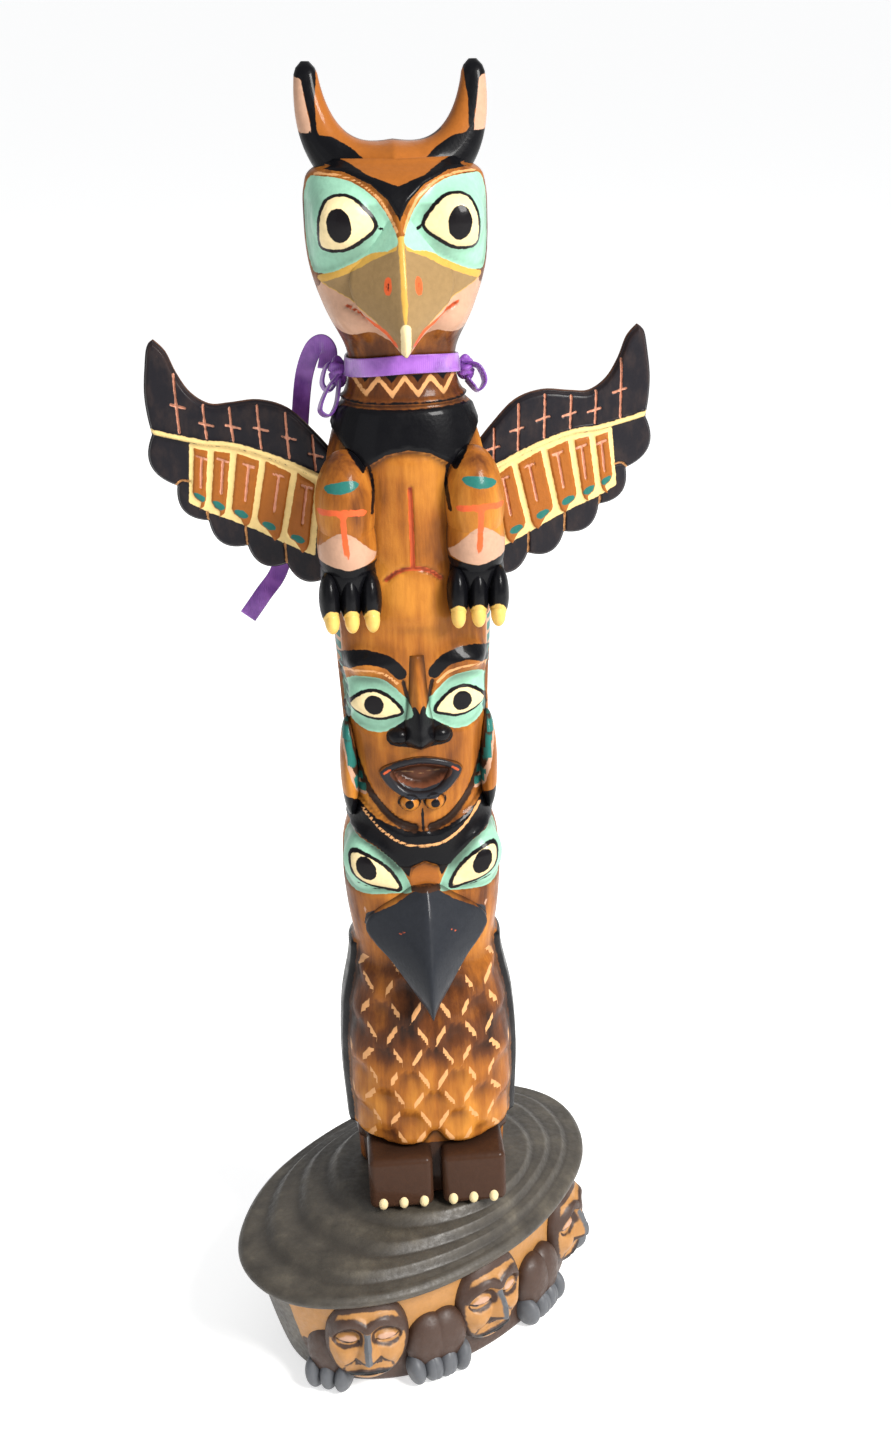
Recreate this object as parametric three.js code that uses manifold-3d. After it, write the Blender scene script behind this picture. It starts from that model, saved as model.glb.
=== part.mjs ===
// A small carved and painted totem pole on an oval clamshell plinth, in millimetres, +Z up.
// The figures face -Y. The origin is on the plinth's underside, below the pole's own axis.
import * as THREE from "three";
import { mergeVertices } from "three/addons/utils/BufferGeometryUtils.js";
import Module from "manifold-3d";

const wasm = await Module();
wasm.setup();

// Driving sizes
const plinth = {
  height: 31, // floor to the flat seat under the pole
  rimDrop: 7, // seat down to the edge of the upper shell
  lipHeight: 3.4, // thickness of that edge
  halfLength: 42.8,
  halfWidth: 28.3,
  footHalfLength: 34.5,
  footHalfWidth: 24,
  shiftAlong: -1.1, // centre of the rim, along and across the shell
  shiftAcross: -3.6,
  turn: 48, // degrees from +X to the shell's long axis
  terraces: 3, // growth steps on the upper shell
  seatHalfLength: 19.5,
  seatHalfWidth: 18,
  columns: 36,
};
const masks = {
  first: 61, // degrees round the plinth to the first mask
  step: 44,
  count: 3,
  level: 12.4, // middle of a mask above the floor
  halfWidth: 7.8,
  halfHeight: 10.4,
  rise: 4.4,
  hands: 19, // degrees from a mask to each hand
  fingers: 3,
};
const pole = { height: 196, seatGap: 0.3, columns: 22, rowStep: 10 };
const crest = { height: 13.2, tipSide: 13.8, tipThick: 1.5, tipDepth: 2, rootThick: 5.6, rootDepth: 5, back: 2.2 };
const wing = {
  span: 44.4, // pole axis to the outer edge
  root: 12.2, // pole axis to the inner end, inside the pole
  foot: 119.8, // lowest edge, above the pole's foot
  rise: 43.2, // lowest edge to the tip
  thick: 3.6,
  relief: 0.8, // how far the carved bands stand proud
  sweep: 9, // degrees that the wing leans back
  rootDepth: 2.6, // its front face behind the pole's axis
  clearance: 0.3,
  feathers: 5,
};
const ribbon = { width: 3.2, thick: 0.5, neckGap: 0.5, level: 159.4 };
const lift = plinth.height + pole.seatGap; // where the pole's foot is

// Sizes of each carved figure, with heights above the pole's own foot
const bird = { eye: 184.5, eyeSide: 9.2, browDip: 184.6, collar: 153.2, dome: 146.6 };
const arm = { side: 11, forward: 10.8, top: 137, cuff: 123.6, toe: 121.4, tip: 118.2, toePitch: 3.5 };
const man = { brow: 109, eye: 101.7, eyeSide: 7.4, mouth: 87.2, chin: 82.6 };
const raven = { eye: 70.2, eyeSide: 9.9, browDip: 69.6 };
const body = { hem: 12.6, rowPitch: 7.2, columnPitch: 7.4, rows: 5, wingTop: 51 };
const foot = { width: 12.4, top: 10.8, forward: 18.4, firstToe: 2.8, toePitch: 3.9 };
// The pole's plain form: height, half width, depth in front of the axis, depth behind it
const outline = [
  [0, 14.4, 14.6, 13.5],
  [13, 15.2, 14.6, 13],
  [28, 15.8, 15.6, 13],
  [38, 15.2, 14.6, 12.6],
  [50, 13.2, 12.8, 11.5],
  [58, 14.2, 13.6, 12],
  [66, 14.7, 14, 12.6],
  [72, 14.3, 13.4, 12.4],
  [79, 12.2, 13, 11.6],
  [88, 12.8, 14, 11.6],
  [96, 13.2, 14, 11.8],
  [108, 13.8, 13.8, 12],
  [116, 14.2, 13.4, 12],
  [128, 14.9, 12.6, 12],
  [138, 14.5, 12.4, 12],
  [146, 13.1, 12.2, 11.4],
  [152, 11.2, 11.2, 10.4],
  [158, 9.1, 9.2, 9.2],
  [162, 9.3, 9.4, 9.2],
  [168, 12.2, 11, 10.8],
  [176, 14.8, 13, 12.2],
  [184, 15.4, 13.6, 12.6],
  [190, 15, 12, 11.4],
  [194, 13.4, 8.6, 9.4],
  [196, 9, 5, 6.4],
];
const halfWidth = outline.map((row) => [row[0], row[1]]);
const frontDepth = outline.map((row) => [row[0], row[2]]);
const backDepth = outline.map((row) => [row[0], row[3]]);

// Rounded forms on both sides: side, forward, height, and their half sizes
const trio = (first, pitch, form) => [0, 1, 2].map((i) => [first + i * pitch, ...form]);
const rounded = [
  [bird.eyeSide, 10.4, bird.eye, 4, 3.9, 3.9],
  [6.6, 7.4, 169.6, 5, 5.6, 4.6],
  [arm.side, arm.forward, arm.top, 5.2, 7, 9.4],
  [arm.side, arm.forward, arm.cuff, 5.7, 6.2, 6.4],
  [man.eyeSide, 10.4, man.eye, 3.6, 2.9, 2.3],
  [7.4, 10.8, man.brow, 5.4, 3.6, 1.9],
  [4, 13, 95.6, 1.9, 2.6, 1.8],
  [12.6, 6.4, 88, 1.7, 4.4, 9],
  [raven.eyeSide, 10.6, raven.eye, 4, 3.6, 3.2],
];
const small = [
  [2.2, 12.8, man.chin, 1.8, 2.6, 1.8],
  ...trio(arm.side - arm.toePitch, arm.toePitch, [14.4, arm.toe, 1.65, 3.4, 4.6]),
  ...trio(arm.side - arm.toePitch, arm.toePitch, [16.4, arm.tip, 1, 1.6, 2.2]),
  ...trio(foot.firstToe, foot.toePitch, [foot.forward - 0.2, 2.2, 1.2, 1.4, 2]),
];
const hollows = [
  [man.eyeSide - 0.2, 15, man.eye, 5, 4, 3.8],
  [0, 17.2, man.mouth, 4, 4.8, 2.8],
];

// Raised bands of the front, from the middle line outwards, with how far each stands proud
const bands = [
  { rise: 1, points: [[0, bird.browDip], [3, 187.6], [7, 189.6], [15, 190.8], [15, 194.6], [7, 193.6], [2.6, 192], [0, 189.6]] },
  { rise: 1, points: [[0, bird.dome], [3.6, 145.6], [8, 142.8], [12, 149], [12.4, bird.collar], [0, bird.collar]] },
  { rise: 0.9, points: [[0, raven.browDip], [4, 72.2], [9, 74.2], [15, 75], [15, 78.4], [8, 77.8], [3, 76.2], [0, 74]] },
];
const jaw = [[0, 77.2], [5, 78], [9.4, 82.2], [12, 89], [13, 97], [11.2, 97], [10, 89.8], [7.6, 84.2], [4, 80.4], [0, 79.6]];
bands.push({ rise: 0.9, points: jaw });
// Beaks and the nose: height, forward reach of the ridge, half width, and reach of the sides
const beaks = [
  [
    [163.8, 19.6, 0.5, 18],
    [166, 21, 2.4, 17],
    [170, 20.8, 6.6, 14.4],
    [175, 19.8, 8.6, 12.6],
    [180, 17.6, 6, 12],
    [186.4, 13.8, 1.4, 12],
  ],
  [
    [94, 16, 3.6, 13.6],
    [95.6, 17.8, 4.2, 14],
    [98.4, 17.4, 3.2, 14],
    [104, 16.2, 2.2, 13.9],
    [110, 14.8, 1.8, 13.6],
  ],
  [
    [44.6, 25.2, 0.6, 22.6],
    [48, 24.8, 4, 19],
    [52, 23.6, 7, 16],
    [58.4, 20.8, 11.2, 12.4],
    [63, 18.4, 11, 12],
    [68.4, 15, 8.6, 11.8],
  ],
];

// Small shaping functions
const clamp = (t) => Math.min(1, Math.max(0, t));
const ease = (t) => clamp(t) ** 2 * (3 - 2 * clamp(t));
const dome = (t) => (Math.abs(t) < 1 ? (1 - t * t) ** 2 : 0);

// A smooth curve through the points, so that no height shows as a ring
function along(points, h) {
  let i = 0;
  while (i < points.length - 2 && h > points[i + 1][0]) i += 1;
  const at = (j) => points[Math.min(points.length - 1, Math.max(0, j))];
  const slope = (j) => (at(j + 1)[1] - at(j - 1)[1]) / (at(j + 1)[0] - at(j - 1)[0]);
  const [from, to] = [at(i), at(i + 1)];
  const step = to[0] - from[0];
  const t = clamp((h - from[0]) / step);
  const bend = t * (1 - t) * step * ((1 - t) * (slope(i) - (to[1] - from[1]) / step));
  const endBend = t * (1 - t) * step * t * ((to[1] - from[1]) / step - slope(i + 1));
  return from[1] + (to[1] - from[1]) * t + bend + endBend;
}

// Distance from the pole's axis to its plain surface, and its front at a place seen from the front
function plainRadius(turn, h) {
  const [sine, cosine] = [Math.abs(Math.sin(turn)), Math.cos(turn)];
  const [wide, deep] = [along(halfWidth, h), along(cosine > 0 ? frontDepth : backDepth, h)];
  const power = cosine > 0 ? 2.5 : 2.3;
  return ((sine / wide) ** power + (Math.abs(cosine) / deep) ** power) ** (-1 / power);
}

function frontAt(x, h) {
  const share = Math.min(0.97, Math.abs(x) / along(halfWidth, h));
  return along(frontDepth, h) * (1 - share ** 2.5) ** 0.4;
}

// A closed body from rings of points: rings run upwards, and points run anticlockwise seen from above
function ringBody(rings) {
  const columns = rings[0].length;
  const positions = rings.flat().flatMap((point) => [point.x, point.y, point.z]);
  const faces = [];
  for (let row = 0; row < rings.length - 1; row += 1) {
    for (let i = 0; i < columns; i += 1) {
      const next = (i + 1) % columns;
      const [a, b] = [row * columns + i, row * columns + next];
      faces.push(a, b, b + columns, a, b + columns, a + columns);
    }
  }
  for (const [ring, up] of [[0, false], [rings.length - 1, true]]) {
    const hub = positions.length / 3;
    const centre = rings[ring].reduce((sum, p) => sum.add(p), new THREE.Vector3()).divideScalar(columns);
    positions.push(centre.x, centre.y, centre.z);
    for (let i = 0; i < columns; i += 1) {
      const [a, b] = [ring * columns + i, ring * columns + ((i + 1) % columns)];
      faces.push(...(up ? [a, b, hub] : [b, a, hub]));
    }
  }
  return indexed(positions, faces);
}

function indexed(positions, faces) {
  const geometry = new THREE.BufferGeometry();
  geometry.setAttribute("position", new THREE.Float32BufferAttribute(positions, 3));
  geometry.setIndex(faces);
  return geometry;
}

// Solids and back
function solid(geometry) {
  const bare = geometry.clone();
  for (const name of Object.keys(bare.attributes)) {
    if (name !== "position") bare.deleteAttribute(name);
  }
  const merged = mergeVertices(bare, 1e-4);
  const mesh = new wasm.Mesh({
    numProp: 3,
    vertProperties: merged.attributes.position.array,
    triVerts: new Uint32Array(merged.index.array),
  });
  return new wasm.Manifold(mesh);
}

function geometryOf(made) {
  const mesh = made.getMesh();
  const raw = new THREE.BufferGeometry();
  raw.setAttribute("position", new THREE.BufferAttribute(Float32Array.from(mesh.vertProperties), 3));
  raw.setIndex(new THREE.BufferAttribute(Uint32Array.from(mesh.triVerts), 1));
  const geometry = mergeVertices(raw, 0.004);
  const corners = geometry.index.array;
  const kept = [];
  for (let i = 0; i < corners.length; i += 3) {
    const [a, b, c] = corners.slice(i, i + 3);
    if (a !== b && b !== c && c !== a) kept.push(a, b, c);
  }
  geometry.setIndex(kept);
  geometry.computeVertexNormals();
  return geometry;
}

// The pole: a plain column, and the forms that are joined to it and cut in it
const levels = [0];
for (const [h] of outline.slice(1)) {
  const [from, to] = [levels[levels.length - 1], (h * pole.height) / outline[outline.length - 1][0]];
  const steps = Math.ceil((to - from) / pole.rowStep);
  for (let i = 1; i <= steps; i += 1) levels.push(from + ((to - from) * i) / steps);
}

function makeColumn(proud) {
  const rings = [];
  for (const h of levels) {
    const ring = [];
    for (let i = 0; i < pole.columns; i += 1) {
      const share = (i / pole.columns) * 2 - 1;
      const turn = Math.PI * (share - 0.08 * Math.sin(2 * Math.PI * share));
      const radius = plainRadius(turn, h) + proud;
      ring.push(new THREE.Vector3(radius * Math.sin(turn), -radius * Math.cos(turn), lift + h));
    }
    rings.push(ring);
  }
  return solid(ringBody(rings));
}

// An ellipsoid at a place seen from the front: to the side, forward of the axis, and up from the foot
function roundForm([side, forward, h, wide, deep, tall], columns = 8, rows = 5) {
  const sphere = new THREE.SphereGeometry(1, columns, rows).rotateX(Math.PI / 2);
  return solid(sphere.scale(wide, deep, tall).translate(side, -forward, lift + h));
}

// A straight prism through the pole's front, and the band that it leaves of a slightly larger column
function frontPrism(points) {
  const shape = new THREE.Shape(points.map(([x, h]) => new THREE.Vector2(x, h)));
  const geometry = new THREE.ExtrudeGeometry(shape, { depth: 30, bevelEnabled: false });
  return solid(geometry.rotateX(Math.PI / 2).translate(0, 0, lift));
}

const mirrored = (points) => [...points, ...points.toReversed().map(([x, h]) => [-x, h])];

function makeBands() {
  return bands.map(({ rise, points }) => makeColumn(rise).intersect(frontPrism(mirrored(points))));
}

// A beak or nose: a ridge in front, with flat flanks that run back into the pole
function makeBeak(rows) {
  const rings = rows.map(([h, ridge, half, side]) => {
    const points = [[0, ridge], [half, side], [half, 6], [-half, 6], [-half, side]];
    return points.map(([x, forward]) => new THREE.Vector3(x, -forward, lift + h));
  });
  return solid(ringBody(rings));
}

// One pointed feather: flush at its top and proud at its tip
function makeFeather(x, h) {
  const [half, drop] = [body.columnPitch * 0.54, body.rowPitch];
  const corners = [[0, drop * 0.6, -0.6], [-half, 0, 0.5], [0, -drop * 0.57, 1.5], [half, 0, 0.5]];
  const place = (dx, dh, out) => [x + dx, -frontAt(x + dx, h + dh) - out, lift + h + dh];
  const front = corners.flatMap(([dx, dh, out]) => place(dx, dh, out));
  const back = corners.flatMap(([dx, dh]) => place(dx, dh, -4));
  const faces = [8, 0, 1, 8, 1, 2, 8, 2, 3, 8, 3, 0, 9, 5, 4, 9, 6, 5, 9, 7, 6, 9, 4, 7];
  for (let i = 0; i < 4; i += 1) {
    const next = (i + 1) % 4;
    faces.push(i, 4 + i, 4 + next, i, 4 + next, next);
  }
  return solid(indexed([...front, ...back, ...place(0, 0, 1.1), ...place(0, 0, -4)], faces));
}

function makeFeathers() {
  const made = [];
  for (let row = 0; row < body.rows; row += 1) {
    const count = row % 2 === 0 ? 4 : 3;
    for (let i = 0; i < count; i += 1) {
      made.push(makeFeather((i - (count - 1) / 2) * body.columnPitch, body.hem + 3.4 + row * body.rowPitch));
    }
  }
  return made;
}

// The folded wing on each side of the lowest bird, and its two feet
function makeFlank(sign) {
  const points = [[10.6, 11], [20, 11], [20, body.wingTop], [13, body.wingTop - 3], [11.6, 34]];
  return makeColumn(1.1).intersect(frontPrism(points.map(([x, h]) => [sign * x, h])));
}

function makeFoot(sign) {
  const deep = foot.forward - 6;
  const block = new THREE.BoxGeometry(foot.width, deep, foot.top + 0.4);
  block.translate(sign * (0.9 + foot.width / 2), -6 - deep / 2, lift + (foot.top - 0.4) / 2 + 0.2);
  return solid(block);
}

// The lips, a ring that lies on the face round the open mouth
function makeLips() {
  const ring = new THREE.TorusGeometry(1, 0.27, 4, 12).scale(5.2, 3.8, 7).rotateX(Math.PI / 2);
  return solid(ring.translate(0, -frontAt(3, man.mouth) - 0.3, lift + man.mouth));
}

// The crest: one U from horn tip to horn tip, thick where it grows out of the head
function makeCrest() {
  const rings = [];
  const stations = 14;
  const tip = pole.height + crest.height;
  const centre = (t) => [crest.tipSide * Math.sin(t * 1.62) ** 0.9, pole.height - 5.4 + (tip - pole.height + 4.9) * t ** 2.3];
  for (let i = 0; i <= stations; i += 1) {
    const share = (i / stations) * 2 - 1;
    const [t, side] = [Math.abs(share), Math.sign(share)];
    const [x, h] = centre(t);
    const [nearX, nearH] = centre(Math.max(0, t - 0.04));
    const [farX, farH] = centre(Math.min(1, t + 0.04));
    const run = Math.hypot(farX - nearX, farH - nearH);
    const flat = (farX - nearX) / run;
    const [normalX, normalH] = t < 0.01 ? [0, -1] : [(side * (farH - nearH)) / run, -flat];
    const thin = t ** 0.85;
    const thick = crest.rootThick + (crest.tipThick - crest.rootThick) * thin;
    const depth = crest.rootDepth + (crest.tipDepth - crest.rootDepth) * thin;
    const ring = [];
    for (let j = 0; j < 10; j += 1) {
      const a = (j / 10) * 2 * Math.PI;
      const [out, back] = [thick * Math.cos(a), depth * Math.sin(a)];
      ring.push(new THREE.Vector3(side * x + out * normalX, crest.back + back, lift + h + out * normalH));
    }
    rings.push(ring);
  }
  return solid(ringBody(rings));
}

function makePole() {
  const added = [...makeBands(), ...makeFeathers(), ...beaks.map(makeBeak), makeLips(), makeCrest()];
  const cut = [];
  for (const sign of [-1, 1]) {
    const mirror = ([side, ...rest]) => [sign * side, ...rest];
    for (const form of rounded) added.push(roundForm(mirror(form)));
    for (const form of small) added.push(roundForm(mirror(form), 5, 4));
    added.push(makeFlank(sign), makeFoot(sign));
    for (const form of hollows) cut.push(roundForm(mirror(form)));
  }
  let made = makeColumn(0);
  for (const form of cut) made = made.subtract(form);
  for (const form of added) made = made.add(form);
  return made;
}

// A wing: a scalloped board with a raised rib, a row of feather panels and cuts in its upper band
const wingPlace = ([along, up]) => [wing.root + (wing.span - wing.root) * along, wing.foot + wing.rise * up];

function wingOutline() {
  const shape = new THREE.Shape();
  const curve = (...points) => shape.bezierCurveTo(...points.flatMap(wingPlace));
  shape.moveTo(...wingPlace([0, 0]));
  shape.lineTo(...wingPlace([0, 0.53]));
  curve([0.1, 0.64], [0.23, 0.75], [0.4, 0.752]);
  curve([0.52, 0.755], [0.65, 0.69], [0.76, 0.778]);
  curve([0.83, 0.84], [0.84, 0.93], [0.925, 0.99]);
  curve([0.96, 1], [0.985, 0.98], [0.988, 0.944]);
  curve([1.015, 0.84], [1.01, 0.72], [0.988, 0.616]);
  const notches = [[0.988, 0.616], [0.845, 0.454], [0.74, 0.329], [0.615, 0.208], [0.453, 0.106], [0.26, 0.028], [0.075, 0.005]];
  const points = notches.map(wingPlace);
  for (let i = 1; i < points.length; i += 1) {
    const [[fromX, fromH], [toX, toH]] = [points[i - 1], points[i]];
    const [runX, runH] = [toX - fromX, toH - fromH];
    shape.quadraticCurveTo((fromX + toX) / 2 - 0.62 * runH, (fromH + toH) / 2 + 0.62 * runX, toX, toH);
  }
  return shape;
}

function onPlate(shape, rise) {
  const depth = wing.thick / 2 + rise;
  const geometry = new THREE.ExtrudeGeometry(shape, { depth, bevelEnabled: false, curveSegments: 3 });
  return solid(geometry.translate(0, 0, -wing.thick / 2));
}

function makeWing(sign) {
  const plate = new THREE.ExtrudeGeometry(wingOutline(), {
    depth: wing.thick,
    bevelEnabled: false,
    curveSegments: 5,
  });
  let made = solid(plate.translate(0, 0, -wing.thick));
  for (let i = 0; i < wing.feathers; i += 1) {
    const [x, low, high] = [0.13 + i * 0.149, 0.13 + i * 0.067, 0.44 + i * 0.0417];
    const panel = new THREE.Shape();
    panel.moveTo(...wingPlace([x, high]));
    panel.lineTo(...wingPlace([x + 0.037, low + 0.032]));
    panel.quadraticCurveTo(...wingPlace([x + 0.093, low - 0.028]), ...wingPlace([x + 0.155, low + 0.056]));
    panel.lineTo(...wingPlace([x + 0.121, high + 0.03]));
    made = made.add(onPlate(panel, wing.relief));
  }
  const rib = new THREE.Shape();
  rib.moveTo(...wingPlace([0.056, 0.43]));
  rib.bezierCurveTo(...[[0.3, 0.546], [0.49, 0.593], [0.938, 0.676]].flatMap(wingPlace));
  rib.lineTo(...wingPlace([0.925, 0.708]));
  rib.bezierCurveTo(...[[0.49, 0.639], [0.3, 0.593], [0.056, 0.472]].flatMap(wingPlace));
  made = made.add(onPlate(rib, wing.relief * 1.3));
  return placeWing(geometryOf(made), sign);
}

function placeWing(geometry, sign) {
  const lean = Math.tan(THREE.MathUtils.degToRad(wing.sweep));
  const position = geometry.attributes.position;
  for (let i = 0; i < position.count; i += 1) {
    const [x, h, out] = [position.getX(i), position.getY(i), position.getZ(i)];
    position.setXYZ(i, sign * x, wing.rootDepth + lean * (x - wing.root) - out, lift + h);
  }
  const index = geometry.index.array;
  if (sign < 0) {
    for (let i = 0; i < index.length; i += 3) [index[i], index[i + 1]] = [index[i + 1], index[i]];
  }
  return solid(geometry);
}

// The slot in the pole's side that a wing's root is set in
function wingPocket(sign) {
  const gap = wing.clearance;
  const shape = new THREE.Shape();
  const [low, high] = [wing.foot - 2.4, wing.foot + wing.rise * 0.54];
  shape.moveTo(wing.root - gap, low);
  shape.lineTo(wing.root - gap, high + 1.4);
  shape.lineTo(wing.root + 9, high + 11);
  shape.lineTo(wing.root + 9, low);
  const depth = wing.thick + wing.relief * 1.3 + 2 * gap;
  const geometry = new THREE.ExtrudeGeometry(shape, { depth, bevelEnabled: false });
  geometry.translate(0, 0, -wing.thick - gap);
  return placeWing(geometryOf(solid(geometry)), sign);
}

// The plinth: a stepped upper shell over a bowl, with masks and hands looking out on one long side
function shellTop(share) {
  const steps = share * plinth.terraces;
  const whole = Math.floor(steps);
  return (whole + ease((steps - whole - 0.3) / 0.6)) / plinth.terraces;
}

function plinthPoint(angle, long, wide, alongShift, acrossShift, z) {
  const turn = THREE.MathUtils.degToRad(plinth.turn);
  const radians = THREE.MathUtils.degToRad(angle);
  const u = alongShift + long * Math.cos(radians);
  const v = acrossShift + wide * Math.sin(radians);
  return new THREE.Vector3(u * Math.cos(turn) + v * Math.sin(turn), u * Math.sin(turn) - v * Math.cos(turn), z);
}

const lipFoot = plinth.height - plinth.rimDrop - plinth.lipHeight;

function bowlPoint(angle, z) {
  const spread = clamp(z / lipFoot) ** 0.8;
  return plinthPoint(
    angle,
    plinth.footHalfLength + (plinth.halfLength - 3.4 - plinth.footHalfLength) * spread,
    plinth.footHalfWidth + (plinth.halfWidth - 3.2 - plinth.footHalfWidth) * spread,
    plinth.shiftAlong * spread,
    plinth.shiftAcross * (0.55 + 0.45 * spread),
    z,
  );
}

function makeShell() {
  const rings = [];
  const addRing = (pointAt) => {
    const turns = Array.from({ length: plinth.columns }, (_, i) => 360 * (1 - i / plinth.columns));
    rings.push(turns.map(pointAt));
  };
  const { halfLength: long, halfWidth: wide, shiftAlong, shiftAcross } = plinth;
  for (let level = 0; level <= 2; level += 1) addRing((angle) => bowlPoint(angle, (lipFoot * level) / 2));
  for (const [inset, up] of [[0.6, 0.4], [0, 1.7], [0.9, 3]]) {
    addRing((angle) => plinthPoint(angle, long - inset, wide - inset, shiftAlong, shiftAcross, lipFoot + up));
  }
  const steps = 3 * plinth.terraces;
  const rim = plinth.height - plinth.rimDrop;
  for (let level = 0; level <= steps; level += 1) {
    const share = level / steps;
    const [u, v] = [shiftAlong * (1 - share), shiftAcross * (1 - share)];
    const halfLong = long - 2 + (plinth.seatHalfLength - long + 2) * share;
    const halfWide = wide - 2 + (plinth.seatHalfWidth - wide + 2) * share;
    addRing((angle) => plinthPoint(angle, halfLong, halfWide, u, v, rim + plinth.rimDrop * shellTop(share)));
  }
  return solid(ringBody(rings));
}

// Moves a form that faces -Y so that it faces out of the bowl's side
function onBowl(made, angle, z) {
  const at = bowlPoint(angle, z);
  const side = bowlPoint(angle - 1, z).sub(bowlPoint(angle + 1, z)).normalize();
  const turn = THREE.MathUtils.radToDeg(Math.atan2(side.y, side.x));
  return made.rotate([0, 0, turn]).translate([at.x, at.y, z]);
}

function bead([x, forward, up, wide, deep, tall], columns = 7, rows = 5) {
  const sphere = new THREE.SphereGeometry(1, columns, rows).rotateX(Math.PI / 2);
  return solid(sphere.scale(wide, deep, tall).translate(x, -forward, up));
}

function makeMask() {
  const { halfWidth: wide, halfHeight: tall, rise } = masks;
  let made = bead([0, 0, 0, wide, rise, tall], 8, 6);
  made = made.add(bead([0, rise - 1.5, 4.6, 6.6, 1.9, 1.3], 6, 4));
  for (const sign of [-1, 1]) made = made.add(bead([sign * 3.6, rise - 1.3, 1, 2, 1.5, 1.2], 5, 4));
  made = made.add(bead([0, rise - 1.6, -6.8, 3.2, 2, 1.7], 6, 4));
  const nose = [[-3.6, 2, 2.2], [-2.6, 2.4, 2.2], [4.4, 0.4, 1]].map(([up, out, half]) =>
    [[0, rise + out], [half, rise - 0.8], [half, 0], [-half, 0], [-half, rise - 0.8]].map(
      ([x, forward]) => new THREE.Vector3(x, -forward, up),
    ),
  );
  return made.add(solid(ringBody(nose)));
}

function makeHand() {
  let made = bead([0, 0.4, 3.4, 3.7, 2.6, 3.4], 5, 4);
  for (let i = 0; i < masks.fingers; i += 1) {
    const x = (i - (masks.fingers - 1) / 2) * 2.2;
    made = made.add(bead([x, 0.2, -0.6, 1.25, 2.6, 3.6], 5, 4));
  }
  return made;
}

function makePlinth() {
  let made = makeShell();
  const ground = new THREE.BoxGeometry(200, 200, 20).translate(0, 0, -10);
  for (let i = 0; i < masks.count; i += 1) {
    const angle = masks.first + i * masks.step;
    made = made.add(onBowl(makeMask(), angle, masks.level));
    for (const sign of [-1, 1]) made = made.add(onBowl(makeHand(), angle + sign * masks.hands, 4.6));
  }
  return made.subtract(solid(ground));
}

// The ribbon round the neck with a knot on each side
function makeNeckRibbon() {
  const positions = [];
  const faces = [];
  const columns = 36;
  const corners = [[-0.5, 0], [-0.5, 1], [0.5, 1], [0.5, 0]];
  for (let i = 0; i < columns; i += 1) {
    const turn = -(i / columns) * 2 * Math.PI;
    const knot = 1.8 * (dome((Math.sin(turn) + 1) / 0.22) + 0.7 * dome((Math.sin(turn) - 1) / 0.16));
    for (const [up, out] of corners) {
      const h = ribbon.level + up * (ribbon.width + knot);
      const neck = Math.max(plainRadius(turn, ribbon.level - 2.4), plainRadius(turn, ribbon.level + 2.4));
      const radius = neck + ribbon.neckGap + out * (ribbon.thick + knot * 0.8);
      positions.push(radius * Math.sin(turn), -radius * Math.cos(turn), lift + h);
    }
    const next = ((i + 1) % columns) * 4;
    for (let j = 0; j < 4; j += 1) {
      const [a, b] = [i * 4 + j, i * 4 + ((j + 1) % 4)];
      const [c, d] = [next + j, next + ((j + 1) % 4)];
      faces.push(a, b, d, a, d, c);
    }
  }
  return solid(indexed(positions, faces));
}

// Points of the tail, chosen by eye: out of the left knot, up in a loop, and down behind the wing
const tailRoute = [
  [-12.9, 2.4, 158.2],
  [-12.4, 4.4, 160.8],
  [-13.4, 6.4, 161.9],
  [-15.2, 8.4, 160.2],
  [-16.9, 10.2, 155.4],
  [-18, 12, 147.6],
  [-19.2, 12.9, 137],
  [-21, 13, 127.6],
  [-23.4, 12.2, 119.6],
  [-26.6, 11, 115.4],
  [-29.6, 10.8, 111.4],
];

function makeTail() {
  const path = new THREE.CatmullRomCurve3(tailRoute.map(([x, y, h]) => new THREE.Vector3(x, y, lift + h)));
  const [half, thin] = [ribbon.width / 2, ribbon.thick / 2];
  const corners = [[1, -0.8], [1, 0.8], [0.6, 1], [-0.6, 1], [-1, 0.8], [-1, -0.8], [-0.6, -1], [0.6, -1]];
  const section = new THREE.Shape(corners.map(([out, up]) => new THREE.Vector2(out * thin, up * half)));
  return solid(new THREE.ExtrudeGeometry(section, { steps: 20, extrudePath: path, bevelEnabled: false }));
}

// Assembly
const finishes = {
  pole: [0.62, 0.33, 0.1],
  wing: [0.04, 0.04, 0.05],
  shell: [0.2, 0.18, 0.16],
  satin: [0.36, 0.16, 0.62],
};
const part = new THREE.Group();

function addMesh(name, made, finish, roughness) {
  const material = new THREE.MeshStandardMaterial({
    color: new THREE.Color(...finishes[finish]),
    roughness,
    metalness: 0,
  });
  const mesh = new THREE.Mesh(geometryOf(made), material);
  mesh.name = name;
  part.add(mesh);
}

addMesh("pole", makePole().subtract(wingPocket(-1)).subtract(wingPocket(1)), "pole", 0.4);
addMesh("wing_left", makeWing(-1), "wing", 0.45);
addMesh("wing_right", makeWing(1), "wing", 0.45);
addMesh("shell_plinth", makePlinth(), "shell", 0.5);
addMesh("neck_ribbon", makeNeckRibbon(), "satin", 0.35);
addMesh("ribbon_tail", makeTail(), "satin", 0.35);

export default part;
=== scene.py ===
from math import cos, pi, radians, sin, tan

import bpy
import numpy as np
from mathutils import Matrix, Vector


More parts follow.
